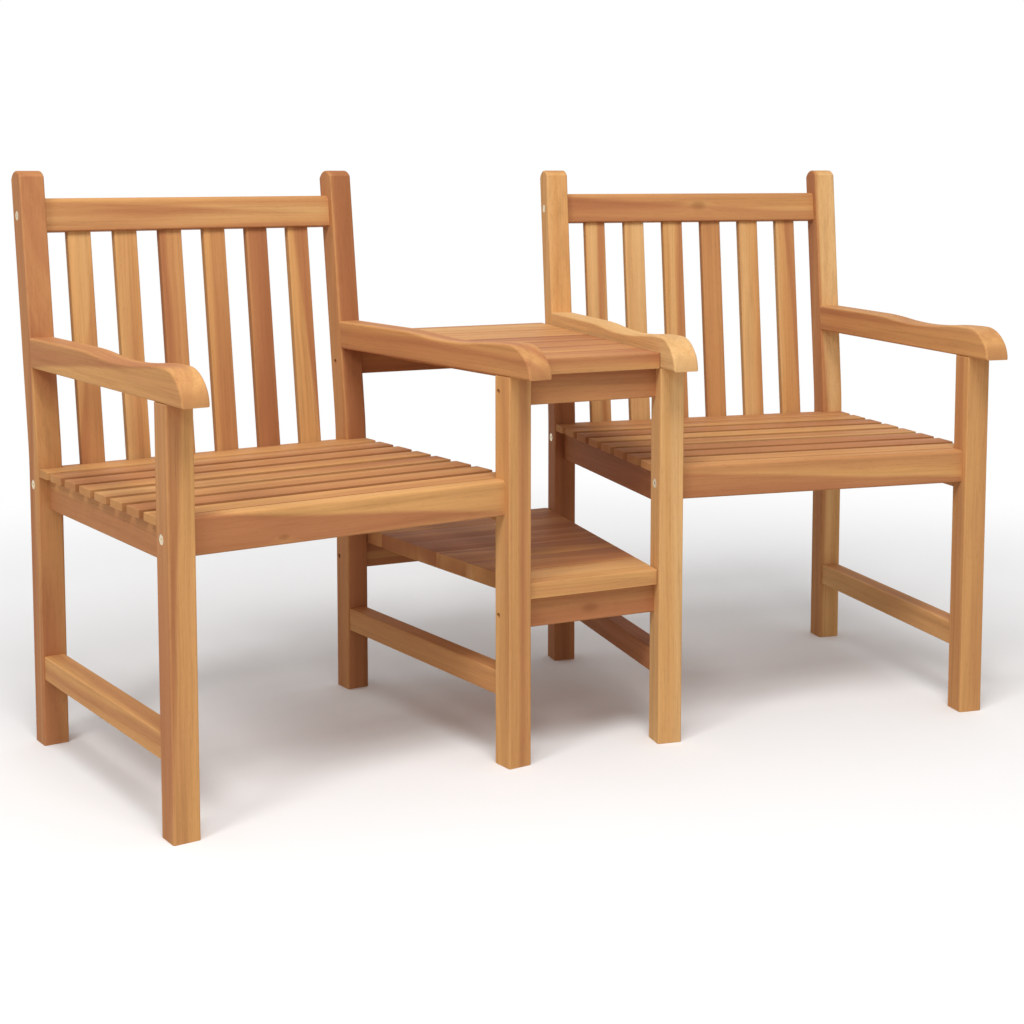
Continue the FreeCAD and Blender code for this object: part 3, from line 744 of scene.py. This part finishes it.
def grown(name, points, tree, values, bevel):
    """Runs a tree on the points, eases the sharp edges and returns the plain mesh object."""
    source = add_object(name + "_source", points)
    modifier = source.modifiers.new("Build", "NODES")
    modifier.node_group = tree
    sockets = {item.name: item.identifier for item in tree.interface.items_tree if item.in_out == "INPUT"}
    for title, value in values.items():
        modifier[sockets[title]] = value
    easing = source.modifiers.new("Ease", "BEVEL")
    easing.width = bevel
    easing.segments = 2
    easing.limit_method = "ANGLE"
    easing.angle_limit = EASE_ANGLE
    easing.use_clamp_overlap = True
    evaluated = source.evaluated_get(bpy.context.evaluated_depsgraph_get())
    mesh = bpy.data.meshes.new_from_object(evaluated)
    mesh.name = name
    bpy.data.objects.remove(source)
    bpy.data.meshes.remove(points)
    # Corners that the rounding brought together become one
    built = bmesh.new()
    built.from_mesh(mesh)
    bmesh.ops.remove_doubles(built, verts=built.verts, dist=SAME_PLACE)
    built.to_mesh(mesh)
    built.free()
    if not mesh.polygons:
        raise RuntimeError("the tree for %s made nothing" % name)
    return add_object(name, mesh)


def settle(piece, slot, *nodes):
    """Rides a finished piece on the body and lets it stand for its nodes."""
    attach(piece, BODY)
    if nodes:
        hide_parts(*nodes)


def lay_row(
    name, bars, place, size, rounding, easing, slot, nodes,
    turn=Matrix.Identity(3), fan=0.0, hidden=0.0, **look,
):
    """Row of slats or boards; each bar has its place, tone and border of sapwood and heartwood, which on a
    few bars is painted shade or shadow.
    """
    places, tones, borders = zip(*bars)
    lots = [lot_of("%s_%d" % (name, bar)) for bar in range(len(places))]
    points = points_mesh(name + "_places", places, {"lot": lots, "split": borders}, {"tone": tones})
    long, wide, thick = size
    along = place.to_3x3() @ turn.col[0]
    row = grown(name, points, shared(row_of_bars), {
        "Length": long, "Width": wide, "Thickness": thick, "Fan": fan,
        "Rounding": rounding[0], "Outer Rounding": rounding[1],
        "Bar Turn": turn.to_euler(), "Place": place.translation, "Turn": place.to_euler().z,
        "Material": row_material(name, along, (long + hidden, wide, thick), **look),
    }, easing)
    settle(row, slot, *nodes)


def set_heads(name, tree, spots, values, easing, *nodes):
    """Heads of fixings; each spot has its place and the way that the head faces."""
    places, facing = zip(*spots)
    points = points_mesh(name + "_places", places, {"facing": facing})
    settle(grown(name, points, shared(tree), values, easing), "bolt_metal", *nodes)


# How golden (0) or brown (1) each piece is, in the left and the right chair; below 0 it is sapwood
# and above 1 darker than brown
CHAIR_TONES = {
    "front_leg_outer": (0.28, 0.42), "front_leg_inner": (0.26, -0.42),
    "back_leg_outer": (0.74, 0.38), "back_leg_inner": (0.98, 0.68),
    "arm_outer": (0.46, 0.42), "arm_inner": (0.62, -0.80),
    # Painted shade: the right chair's inner side rail, under the table, is made darker than brown (1.60)
    "side_rail_outer": (0.86, 0.60), "side_rail_inner": (0.65, 1.60),
    "stretcher_outer": (0.42, 0.42), "stretcher_inner": (0.26, 1.20),
    "front_rail": (0.50, 0.80), "rear_rail": (0.60, 0.55), "top_rail": (0.46, 0.66),
    "seat_bearer": (0.55, 0.50), "rear_seat_slat": (0.45, 0.42),
}
TABLE_TONES = {
    "top_front_apron": 1.00, "top_rear_apron": 0.80, "shelf_front_apron": 0.90, "shelf_rear_apron": 0.76,
    "top_batten_left": 0.55, "top_batten_right": 0.60, "shelf_batten_left": 0.58,
    "shelf_batten_right": 0.52,
}
TONES = TABLE_TONES | {
    "%s_%s" % (side, piece): tone
    for piece, pair in CHAIR_TONES.items() for side, tone in zip(CHAIRS, pair)
}

# Pieces cut across the border of sapwood and heartwood, and one leg given painted shade: the way across it
# in the piece's grain (along, across, deep), its place, and how much browner the far side is
SPLITS = {
    "left_front_rail": ((0.10, 0.0, 1.0), 0.004, -0.9),
    "left_top_rail": ((0.06, 0.0, 1.0), 0.008, -0.4),
    "left_side_rail_outer": ((0.0, 0.0, 1.0), 0.006, -0.5),
    "left_front_leg_outer": ((0.03, 0.0, 1.0), 0.012, 0.7),
    "left_front_leg_inner": ((0.0, 0.0, 1.0), 0.014, -0.4),
    "left_back_leg_inner": ((0.0, 0.0, 1.0), 0.016, -0.5),
    "left_arm_outer": ((0.1, 0.0, 1.0), 0.005, 0.8),
    "right_arm_outer": ((0.1, 0.0, 0.0), -0.022, 0.14),
    "right_top_rail": ((0.05, 0.0, 1.0), 0.006, -0.5),
    "right_front_rail": ((0.05, 0.0, 1.0), -0.004, -0.8),
    # Painted shade: this leg is made much browner below the seat, where the table top shades it
    "right_back_leg_inner": ((0.08, 0.0, 0.0), 0.008, -1.6),
    "right_back_leg_outer": ((0.0, 0.0, 1.0), 0.012, 1.2),
    "shelf_front_apron": ((0.0, 0.0, 1.0), 0.0, -0.3),
}

# Knots: place in the piece's grain, and size
KNOTS = {
    "left_front_rail": ((-0.115, -0.0135, -0.016), 0.006),
    "right_top_rail": ((0.012, -0.0135, 0.004), 0.011),
    "shelf_front_apron": ((0.0, -0.01, -0.004), 0.010),
}

# Tones of the slats and boards, from the front or the left
SEAT_TONES = {
    "left": (0.36, 0.52, 0.40, 0.62, 0.55, 0.58, 0.50),
    "right": (0.40, 0.50, 0.58, 0.38, 0.40, 0.72, 0.50),
}
BACK_TONES = {
    "left": (0.44, 0.18, 0.70, 0.14, 0.86, 0.40),
    "right": (0.38, 0.02, 0.10, 0.62, 0.22, 0.22),
}
BOARD_TONES = {
    "top": (1.04, 1.24, 1.30, 1.24, 0.95, 0.42, 0.36),
    # Painted shade: the shelf boards grow browner towards the rear, under the table top
    "shelf": (0.40, 0.72, 0.78, 0.88, 0.98, 1.08),
}
BOARD_CLOUDS = {"top": 1.4, "shelf": 2.4}
# Painted shade on the long side faces of the seat and back slats
SEAT_GAP_SHADE = 0.35
BACK_GAP_SHADE = 0.4

# Border of sapwood and heartwood in a row, or on the left chair's first back slat a painted shadow of the
# arm: place, how much browner the far side is, and tilt
PLAIN = (0.0, 0.0, 0.0)
BACK_SPLITS = {
    "left": (
        # Painted shadow: the first entry makes part of the first slat browner, where the arm's shadow falls
        (0.0, 0.7, -0.10), PLAIN, PLAIN, (-0.010, 0.4, 0.0), (-0.014, 0.3, 0.0), (0.006, 0.6, 0.066),
    ),
    "right": (
        (0.004, 0.3, 0.0), PLAIN, (0.004, 0.8, 0.0), PLAIN, PLAIN, (0.008, 0.6, 0.05),
    ),
}
BOARD_SPLITS = {
    "top": (
        (0.028, 0.5, 0.02), (0.024, 0.6, -0.05), (0.030, 0.6, 0.04), (0.022, 0.5, 0.06),
        (0.030, 0.6, -0.03), (0.026, 0.5, 0.05), (0.020, 0.4, 0.0),
    ),
    "shelf": (
        (0.016, 0.4, 0.03), (0.012, 0.4, 0.16), (0.010, 0.5, 0.20), (0.006, 0.4, 0.10),
        (0.020, 0.3, -0.06), (0.0, 0.2, 0.0),
    ),
}


class GARDEN_OT_frame_pieces(bpy.types.Operator):
    """Gives the legs, rails, stretchers, bearers, aprons and battens their teak"""

    bl_idname = "garden.frame_pieces"
    bl_label = "Frame pieces"

    def dress(self, name, *layout, **extra):
        material = piece_material(name, *layout, **extra)
        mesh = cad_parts[name].data
        mesh.materials.clear()
        mesh.materials.append(material)

    def dress_chairs(self):
        seat_under = SEAT_TOP - SEAT_SLAT_THICK
        middle = (LEG + BACK_LEG_PLACE) / 2
        reach = BACK_LEG_PLACE - LEG
        leg = (LEG, LEG, ARM_UNDER)
        back_leg = (LEG, LEG, BACK_HEIGHT)
        side_rail = (SIDE_RAIL_THICK, reach, RAIL_HEIGHT)
        stretcher = (STRETCHER_THICK, reach, STRETCHER_HEIGHT)
        rail_middle = X_IN + SIDE_RAIL_THICK / 2
        bend = BEND_HEIGHT - BACK_HEIGHT / 2
        for side, place, hand, sign in chair_sides():
            for piece, x, depth, height, size, along, bent in (
                ("front_leg", LEG_MIDDLE, LEG / 2, ARM_UNDER / 2, leg, "z", None),
                ("back_leg", LEG_MIDDLE, BACK_LEG_PLACE + LEG / 2, BACK_HEIGHT / 2, back_leg, "z", bend),
                ("side_rail", rail_middle, middle, seat_under - RAIL_HEIGHT / 2, side_rail, "y", None),
                ("stretcher", LEG_MIDDLE, middle, STRETCHER_MIDDLE, stretcher, "y", None),
            ):
                name = "%s_%s_%s" % (side, piece, hand)
                self.dress(name, place, (sign * x, depth, height), size, along, bend=bent)
        rail = (2 * X_IN, RAIL_THICK, RAIL_HEIGHT)
        half_thick, half_height = RAIL_THICK / 2, RAIL_HEIGHT / 2
        front = (0, RAIL_SETBACK + half_thick, SEAT_TOP - half_height)
        rear = (0, BACK_RAIL_PLACE + half_thick, SEAT_TOP - REAR_RAIL_DROP - half_height)
        top = (0, *raked(BACK_RAIL_PLACE + half_thick, TOP_RAIL_RUN + half_height))
        bearer = (0, (LEG + BACK_RAIL_PLACE) / 2, seat_under - BEARER[2] / 2)
        last = (0, LAST_SLAT_PLACE, SEAT_TOP - SEAT_SLAT_THICK / 2)
        last_slat = (SEAT_SLAT_LENGTH, LAST_SLAT_WIDTH, SEAT_SLAT_THICK)
        for side, place in CHAIRS.items():
            self.dress(side + "_front_rail", place, front, rail, "x")
            self.dress(side + "_rear_rail", place, rear, rail, "x")
            self.dress(side + "_top_rail", place, top, rail, "x", lean=RAKE)
            self.dress(side + "_seat_bearer", place, bearer, BEARER, "y")
            self.dress(side + "_rear_seat_slat", place, last, last_slat, "x")

    def dress_table(self, board_thick):
        for name, tier in TIERS.items():
            under = tier.top - board_thick
            for end, depth in (("front", APRON_PLACE), ("rear", tier.rear_apron)):
                spot = (0, depth, under - APRON_HEIGHT / 2)
                apron = (2 * table_half(depth), APRON_THICK, APRON_HEIGHT)
                self.dress("%s_%s_apron" % (name, end), SET_PLACE, spot, apron, "x")
            for side, sign in SIGNS.items():
                x = sign * (table_half(BATTEN_MIDDLE) - BATTEN_INSET)
                spot = Matrix.Translation((x, BATTEN_MIDDLE, under - BATTEN[2] / 2))
                turned = SET_PLACE @ spot @ Matrix.Rotation(-sign * TURN_IN, 4, "Z")
                self.dress("%s_batten_%s" % (name, side), turned, (0, 0, 0), BATTEN, "y")

    def execute(self, context):
        self.dress_chairs()
        self.dress_table(context.scene.garden_boards.thick)
        return {"FINISHED"}


def arc(centre, radius, start, end, steps):
    """Points of an arc between two angles."""
    angles = [start + (end - start) * step / steps for step in range(steps + 1)]
    return [centre + radius * Vector((math.cos(angle), math.sin(angle))) for angle in angles]


def swell(start, end, steps):
    """Points of two like arcs between two points that both are level, without the first point."""
    run, rise = end - start
    radius = (run**2 + rise**2) / (4 * abs(rise))
    points = []
    for step in range(1, steps + 1):
        along = run * step / steps
        first_half = step * 2 <= steps
        near = along if first_half else run - along
        drop = math.copysign(radius - math.sqrt(radius**2 - near**2), rise)
        points.append(Vector((start.x + along, start.y + drop if first_half else end.y - drop)))
    return points


class GARDEN_OT_arms(bpy.types.Operator):
    """Makes the arms with their dip, hump and rolled nose"""

    bl_idname = "garden.arms"
    bl_label = "Arms"

    # Depths of the top of the hump, the dip and the start of the level part
    hump_place = 5 * MM
    dip_place = 180 * MM
    level_place = 330 * MM
    sharp_reach = 10 * MM
    # Middle of the grain
    middle_depth = 230 * MM
    middle_height = 23 * MM
    nose_steps = 22
    dip_steps = 26
    rise_steps = 24
    edge_steps = 6

    def nose(self, sizes):
        """Two arcs that touch: tight at the tip of the nose, wider over the hump."""
        tip = Vector((-sizes.nose, ARM_UNDER))
        hump = Vector((self.hump_place, ARM_UNDER + sizes.hump))
        tight = sizes.nose_radius
        reach, rise = hump - tip
        wide = ((reach - tight) ** 2 + rise**2 - tight**2) / (2 * (rise - tight))
        tight_centre = tip + Vector((tight, 0))
        wide_centre = hump - Vector((0, wide))
        split = math.atan2(*reversed(tight_centre - wide_centre))
        first = arc(tight_centre, tight, math.pi, split, self.nose_steps)
        return first + arc(wide_centre, wide, split, math.pi / 2, self.nose_steps)[1:]

    def outline(self, sizes):
        """Side view as depth and height, from the tip of the nose over the top to the underside."""
        # The edge at the tip is longer than its rounding
        crowded = 1.4 * sizes.ease
        points = [
            point for point in self.nose(sizes) if not 0.001 * MM < point.y - ARM_UNDER < crowded
        ]
        dip = Vector((self.dip_place, ARM_UNDER + sizes.dip))
        level = Vector((self.level_place, ARM_UNDER + sizes.rear))
        points += swell(points[-1], dip, self.dip_steps)
        points += swell(dip, level, self.rise_steps)
        for height in (ARM_UNDER + sizes.rear, ARM_UNDER):
            depth = BACK_LEG_PLACE + (height - BEND_HEIGHT) * math.tan(RAKE)
            points.append(Vector((depth, height)))
        return points

    def shape(self, sizes):
        """The outline pulled out to the width of the leg, with its long edges rounded."""
        points = self.outline(sizes)
        built = bmesh.new()
        near = [built.verts.new((-LEG / 2, *point)) for point in points]
        far = [built.verts.new((LEG / 2, *point)) for point in points]
        built.faces.new(near)
        built.faces.new(list(reversed(far)))
        for index in range(len(points)):
            after = (index + 1) % len(points)
            built.faces.new((near[after], near[index], far[index], far[after]))
        bmesh.ops.recalc_face_normals(built, faces=built.faces)
        # The edges on the back leg stay sharp
        rear = points[-1].x - self.sharp_reach
        sides =[edge for edge in built.edges if abs(edge.verts[0].co.x - edge.verts[1].co.x) < MM]
        long_edges = [edge for edge in sides if min(vert.co.y for vert in edge.verts) < rear]
        bmesh.ops.bevel(
            built, geom=long_edges, offset=sizes.ease, offset_type="OFFSET", segments=self.edge_steps,
            profile=0.5, affect="EDGES", clamp_overlap=False,
        )
        return built

    def execute(self, context):
        for side, place, hand, sign in chair_sides():
            built = self.shape(context.scene.garden_arms)
            built.transform(place @ Matrix.Translation((sign * LEG_MIDDLE, 0, 0)))
            node = "%s_arm_%s" % (side, hand)
            mesh = bpy.data.meshes.new("%s_%s_arm" % (side, hand))
            built.to_mesh(mesh)
            built.free()
            middle = (sign * LEG_MIDDLE, self.middle_depth, ARM_UNDER + self.middle_height)
            # Its curved edges get rubbed wood and painted highlight only at the sides
            mesh.materials.append(piece_material(node, place, middle, (LEG, 2.0, 2.0), "y"))
            settle(add_object(mesh.name, mesh), "teak_frame", node)
        return {"FINISHED"}


class GARDEN_OT_seat_slats(bpy.types.Operator):
    """Lays the plain seat slats of both chairs"""

    bl_idname = "garden.seat_slats"
    bl_label = "Seat slats"

    def execute(self, context):
        sizes = context.scene.garden_slats
        pitch = sizes.seat_width + sizes.seat_gap
        first = sizes.seat_start + sizes.seat_width / 2
        height = SEAT_TOP - sizes.seat_thick / 2
        places = [(0, first + pitch * slat, height) for slat in range(sizes.seat_count)]
        size = (sizes.seat_length, sizes.seat_width, sizes.seat_thick)
        for side, place in CHAIRS.items():
            bars = [(spot, tone, PLAIN) for spot, tone in zip(places, SEAT_TONES[side])]
            lay_row(
                side + "_seat_slat_row", bars, place, size, (sizes.seat_ease, sizes.seat_ease),
                sizes.end_ease, "teak_slats", [side + "_seat_slats"], stain=SEAT_GAP_SHADE,
            )
        return {"FINISHED"}


class GARDEN_OT_back_slats(bpy.types.Operator):
    """Stands the back slats of both chairs between their rails"""

    bl_idname = "garden.back_slats"
    bl_label = "Back slats"

    def execute(self, context):
        sizes = context.scene.garden_slats
        gap = (2 * X_IN - sizes.back_count * sizes.back_width) / (sizes.back_count + 1)
        pitch = sizes.back_width + gap
        first = -X_IN + gap + sizes.back_width / 2
        head = TOP_RAIL_RUN + BACK_SLAT_TENON
        middle = raked(BACK_RAIL_PLACE + RAIL_THICK / 2, (BACK_SLAT_FOOT + head) / 2)
        places = [(first + pitch * slat, *middle) for slat in range(sizes.back_count)]
        upright = Matrix((
            (0, 1, 0), (math.sin(RAKE), 0, math.cos(RAKE)), (math.cos(RAKE), 0, -math.sin(RAKE))
        ))
        size = (head - BACK_SLAT_FOOT, sizes.back_width, sizes.back_thick)
        for side, place in CHAIRS.items():
            bars = zip(places, BACK_TONES[side], BACK_SPLITS[side])
            lay_row(
                side + "_back_slat_row", bars, place, size, (sizes.back_ease, sizes.back_ease),
                sizes.end_ease, "teak_slats", [side + "_back_slats"],
                turn=upright, hidden=HIDDEN_ENDS, stain=BACK_GAP_SHADE,
            )
        return {"FINISHED"}


def board_row(tier, joint):
    """Width of the boards of a tier, and the depth of the middle of each."""
    front, rear = TIERS[tier].front, TIERS[tier].rear
    count = len(BOARD_TONES[tier])
    width = (rear - front - (count - 1) * joint) / count
    return width, [front + width / 2 + board * (width + joint) for board in range(count)]


class GARDEN_OT_table_boards(bpy.types.Operator):
    """Lays the boards of the table top and of the shelf"""

    bl_idname = "garden.table_boards"
    bl_label = "Table and shelf boards"

    def execute(self, context):
        sizes = context.scene.garden_boards
        half_at_front = table_half(0) - sizes.clear / math.cos(TURN_IN)
        for tier, tones in BOARD_TONES.items():
            width, depths = board_row(tier, sizes.joint)
            bars = zip([(0, depth, 0) for depth in depths], tones, BOARD_SPLITS[tier])
            place = Matrix.Translation((0, -SHIFT_BACK, TIERS[tier].top - sizes.thick / 2))
            size = (2 * half_at_front, width, sizes.thick)
            nodes = ["%s_board_%d" % (tier, board + 1) for board in range(len(tones))]
            lay_row(
                tier + "_board_row", bars, place, size, (sizes.joint_ease, sizes.ease), sizes.end_ease,
                "teak_boards", nodes, fan=math.tan(TURN_IN) / half_at_front, hidden=HIDDEN_ENDS,
                clouds=BOARD_CLOUDS[tier],
            )
        return {"FINISHED"}


def joint_places(into):
    """Depth and height of the rail joints of one side of a chair, so far into the rails."""
    height = SEAT_TOP - BOLT_DROP
    back = BACK_RAIL_PLACE + into
    return [(RAIL_SETBACK + into, height), (back, height), raked(back, TOP_RAIL_RUN + RAIL_HEIGHT / 2)]


def on_both_sides(spots_of):
    """Places and facings in the set, from those that a function gives for one side of a chair."""
    return [
        (place @ spot, place.to_3x3() @ facing)
        for place in CHAIRS.values() for sign in SIGNS.values() for spot, facing in spots_of(sign)
    ]


class GARDEN_OT_bolts(bpy.types.Operator):
    """Sets the joint bolts into the legs"""

    bl_idname = "garden.bolts"
    bl_label = "Joint bolts"

    def execute(self, context):
        sizes = context.scene.garden_fixings

        def spots(sign):
            x = sign * (X_OUT - sizes.bolt_sink)
            return [(Vector((x, *joint)), Vector((sign, 0, 0))) for joint in joint_places(BOLT_SETBACK)]

        set_heads("bolt_heads", socket_heads, on_both_sides(spots), {
            "Radius": sizes.bolt_head / 2, "Height": sizes.bolt_head_thick, "Key": sizes.bolt_key,
            "Key Depth": 1.6 * MM,
            "Material": metal_material("bolt_plate", context.scene.garden_metal.bolt, 0.26),
        }, 0.35 * MM, "joint_bolts")
        return {"FINISHED"}


class GARDEN_OT_nuts(bpy.types.Operator):
    """Puts the barrel nuts into the hidden faces of the rails"""

    bl_idname = "garden.nuts"
    bl_label = "Barrel nuts"

    proud = 0.3 * MM
    thick = 3 * MM

    def spots(self, sign):
        x = sign * (X_IN - NUT_FROM_LEG)
        back = Vector((0, 1, 0))
        lean_back = Vector((0, math.cos(RAKE), -math.sin(RAKE)))
        return [
            (Vector((x, *joint)) + out * (self.proud - self.thick), out)
            for joint, out in zip(joint_places(RAIL_THICK), (back, back, lean_back))
        ]

    def execute(self, context):
        set_heads("barrel_nut_ends", slotted_heads, on_both_sides(self.spots), {
            "Radius": context.scene.garden_fixings.nut / 2, "Height": self.thick, "Slot": 12 * MM,
            "Slot Width": 1.4 * MM, "Slot Depth": 1.2 * MM, "Crossed": 0.0,
            "Material": metal_material("nut_steel", context.scene.garden_metal.steel, 0.30),
        }, 0.3 * MM)
        return {"FINISHED"}


class GARDEN_OT_screws(bpy.types.Operator):
    """Drives the sunk screws into the aprons and the screws up through the battens"""

    bl_idname = "garden.screws"
    bl_label = "Screws"

    # Reach of the battens that takes screws, and how far their heads are sunk
    first_depth = 55 * MM
    last_depth = 500 * MM
    batten_sink = 2.4 * MM

    def drive(self, context, name, spots):
        set_heads(name, slotted_heads, spots, {
            "Radius": context.scene.garden_fixings.screw_head / 2, "Height": 2.6 * MM, "Slot": 4.6 * MM,
            "Slot Width": 1.1 * MM, "Slot Depth": 1.5 * MM, "Crossed": 1.0,
            "Material": metal_material(name + "_steel", context.scene.garden_metal.steel, 0.34),
        }, 0.25 * MM)

    def apron_spots(self, sink, board_thick):
        for side, place in CHAIRS.items():
            inwards = -SIGNS[side]
            facing = place.to_3x3() @ Vector((-inwards, 0, 0))
            for tier in TIERS.values():
                height = tier.top - board_thick - APRON_HEIGHT / 2
                for depth in (APRON_PLACE, tier.rear_apron):
                    x = inwards * (X_IN + sink)
                    yield place @ Vector((x, depth / math.cos(TURN_IN), height)), facing

    def board_spots(self, boards):
        for name, tier in TIERS.items():
            height = tier.top - boards.thick - BATTEN[2] + self.batten_sink
            for depth in board_row(name, boards.joint)[1]:
                depth = min(max(depth, self.first_depth), self.last_depth)
                for sign in SIGNS.values():
                    x = sign * (table_half(depth) - BATTEN_INSET)
                    yield SET_PLACE @ Vector((x, depth, height)), Vector((0, 0, -1))

    def execute(self, context):
        boards = context.scene.garden_boards
        sink = context.scene.garden_fixings.screw_sink
        self.drive(context, "apron_screw_heads", list(self.apron_spots(sink, boards.thick)))
        self.drive(context, "board_screw_heads", list(self.board_spots(boards)))
        return {"FINISHED"}


class GARDEN_OT_stage(bpy.types.Operator):
    """Sets up the floor, the light and the camera"""

    bl_idname = "garden.stage"
    bl_label = "Stage"

    # The floor lies just under the feet, and turns plain white between these radii
    floor_radius = 14.0
    floor_height = -0.3 * MM
    plain_white = (1.0, 2.4)

    def seen_rays(self, wires):
        """1 for rays from the camera, off gloss and through glass."""
        path = wires.node("ShaderNodeLightPath").outputs
        seen = wires.math("MAXIMUM", path["Is Camera Ray"], path["Is Glossy Ray"])
        return wires.math("MAXIMUM", seen, path["Is Transmission Ray"])

    def floor(self, look):
        """Plain pale floor that turns plain white away from the object."""
        bpy.ops.mesh.primitive_circle_add(
            vertices=96, radius=self.floor_radius, fill_type="NGON", location=(0, 0, self.floor_height)
        )
        floor = bpy.context.object
        floor.name = "floor"
        material, wires, shader = new_material("floor_paint")
        place = wires.node("ShaderNodeTexCoord").outputs["Object"]
        mottled = wires.blend(wires.noise(place, scale=3.0), rgba(look.floor), rgba(look.floor, 0.985))
        seen = self.seen_rays(wires)
        wires.put(shader["Base Color"], wires.blend(seen, rgba(look.bounce), mottled))
        shader["Roughness"].default_value = 0.9
        shader["Specular IOR Level"].default_value = 0.1
        away = wires.step(wires.vector("LENGTH", place), *self.plain_white)
        surface = material.node_tree.get_output_node("ALL").inputs["Surface"]
        paint = surface.links[0].from_socket
        white = wires.add("ShaderNodeEmission")
        values = {0: wires.times(away, seen), 1: paint, 2: white}
        wires.put(surface, wires.add("ShaderNodeMixShader", values))
        floor.data.materials.append(material)

    def sky(self, look):
        world = bpy.data.worlds.new("Studio")
        wires = emptied(world)
        white = (1, 1, 1, 1)
        light = wires.add("ShaderNodeBackground", {"Color": white, "Strength": look.sky})
        backdrop = wires.add("ShaderNodeBackground", {"Color": white})
        mixed = wires.add("ShaderNodeMixShader", {0: self.seen_rays(wires), 1: light, 2: backdrop})
        wires.node("ShaderNodeOutputWorld", {"Surface": mixed})
        bpy.context.scene.world = world

    def lamp(self, name, place, target, size, power):
        light = bpy.data.lights.new(name, "AREA")
        light.shape = "DISK"
        light.size = size
        light.energy = power
        lamp = add_object(name, light)
        lamp.location = place
        lamp.rotation_euler = (Vector(target) - Vector(place)).to_track_quat("-Z", "Y").to_euler()

    def camera(self, look):
        data = bpy.data.cameras.new("Camera")
        data.sensor_width = 36.0
        data.lens = look.lens
        data.shift_y = look.shift
        camera = add_object("Camera", data)
        camera.location = look.camera
        camera.rotation_euler = (math.radians(90) - look.pitch, 0, -look.yaw)
        bpy.context.scene.camera = camera

    def execute(self, context):
        look = context.scene.garden_stage
        context.scene.view_settings.view_transform = "Standard"
        self.floor(look)
        self.sky(look)
        self.lamp("Key lamp", (-0.75, -2.0, 4.0), (0, 0, 0.4), 1.8, look.key)
        self.lamp("Side lamp", (-3.0, -1.8, 3.3), (-0.3, 0, 0.5), 1.2, look.side)
        self.camera(look)
        return {"FINISHED"}


OPERATORS = (
    GARDEN_OT_stage,
    GARDEN_OT_frame_pieces,
    GARDEN_OT_arms,
    GARDEN_OT_seat_slats,
    GARDEN_OT_back_slats,
    GARDEN_OT_table_boards,
    GARDEN_OT_bolts,
    GARDEN_OT_nuts,
    GARDEN_OT_screws,
)
SETTINGS = {
    "garden_slats": SlatSizes,
    "garden_boards": BoardSizes,
    "garden_arms": ArmSizes,
    "garden_fixings": FixingSizes,
    "garden_teak": TeakLook,
    "garden_metal": MetalLook,
    "garden_stage": StageLook,
}


class GARDEN_PT_panel(bpy.types.Panel):
    """Lists the pieces and the settings of the garden seat"""

    bl_idname = "GARDEN_PT_panel"
    bl_label = "Garden seat"
    bl_space_type = "VIEW_3D"
    bl_region_type = "UI"
    bl_category = "Garden seat"

    def draw(self, context):
        for operator in OPERATORS:
            self.layout.operator(operator.bl_idname)
        for title, kind in SETTINGS.items():
            box = self.layout.box()
            box.label(text=kind.__doc__)
            for setting in kind.__annotations__:
                box.prop(getattr(context.scene, title), setting)


CLASSES = (*SETTINGS.values(), *OPERATORS, GARDEN_PT_panel)


def register():
    for kind in CLASSES:
        bpy.utils.register_class(kind)
    for title, kind in SETTINGS.items():
        setattr(bpy.types.Scene, title, bpy.props.PointerProperty(type=kind))


def unregister():
    for title in SETTINGS:
        delattr(bpy.types.Scene, title)
    for kind in reversed(CLASSES):
        bpy.utils.unregister_class(kind)


def main():
    register()
    for operator in OPERATORS:
        group, name = operator.bl_idname.split(".")
        getattr(getattr(bpy.ops, group), name)()


if __name__ == "__main__":
    main()
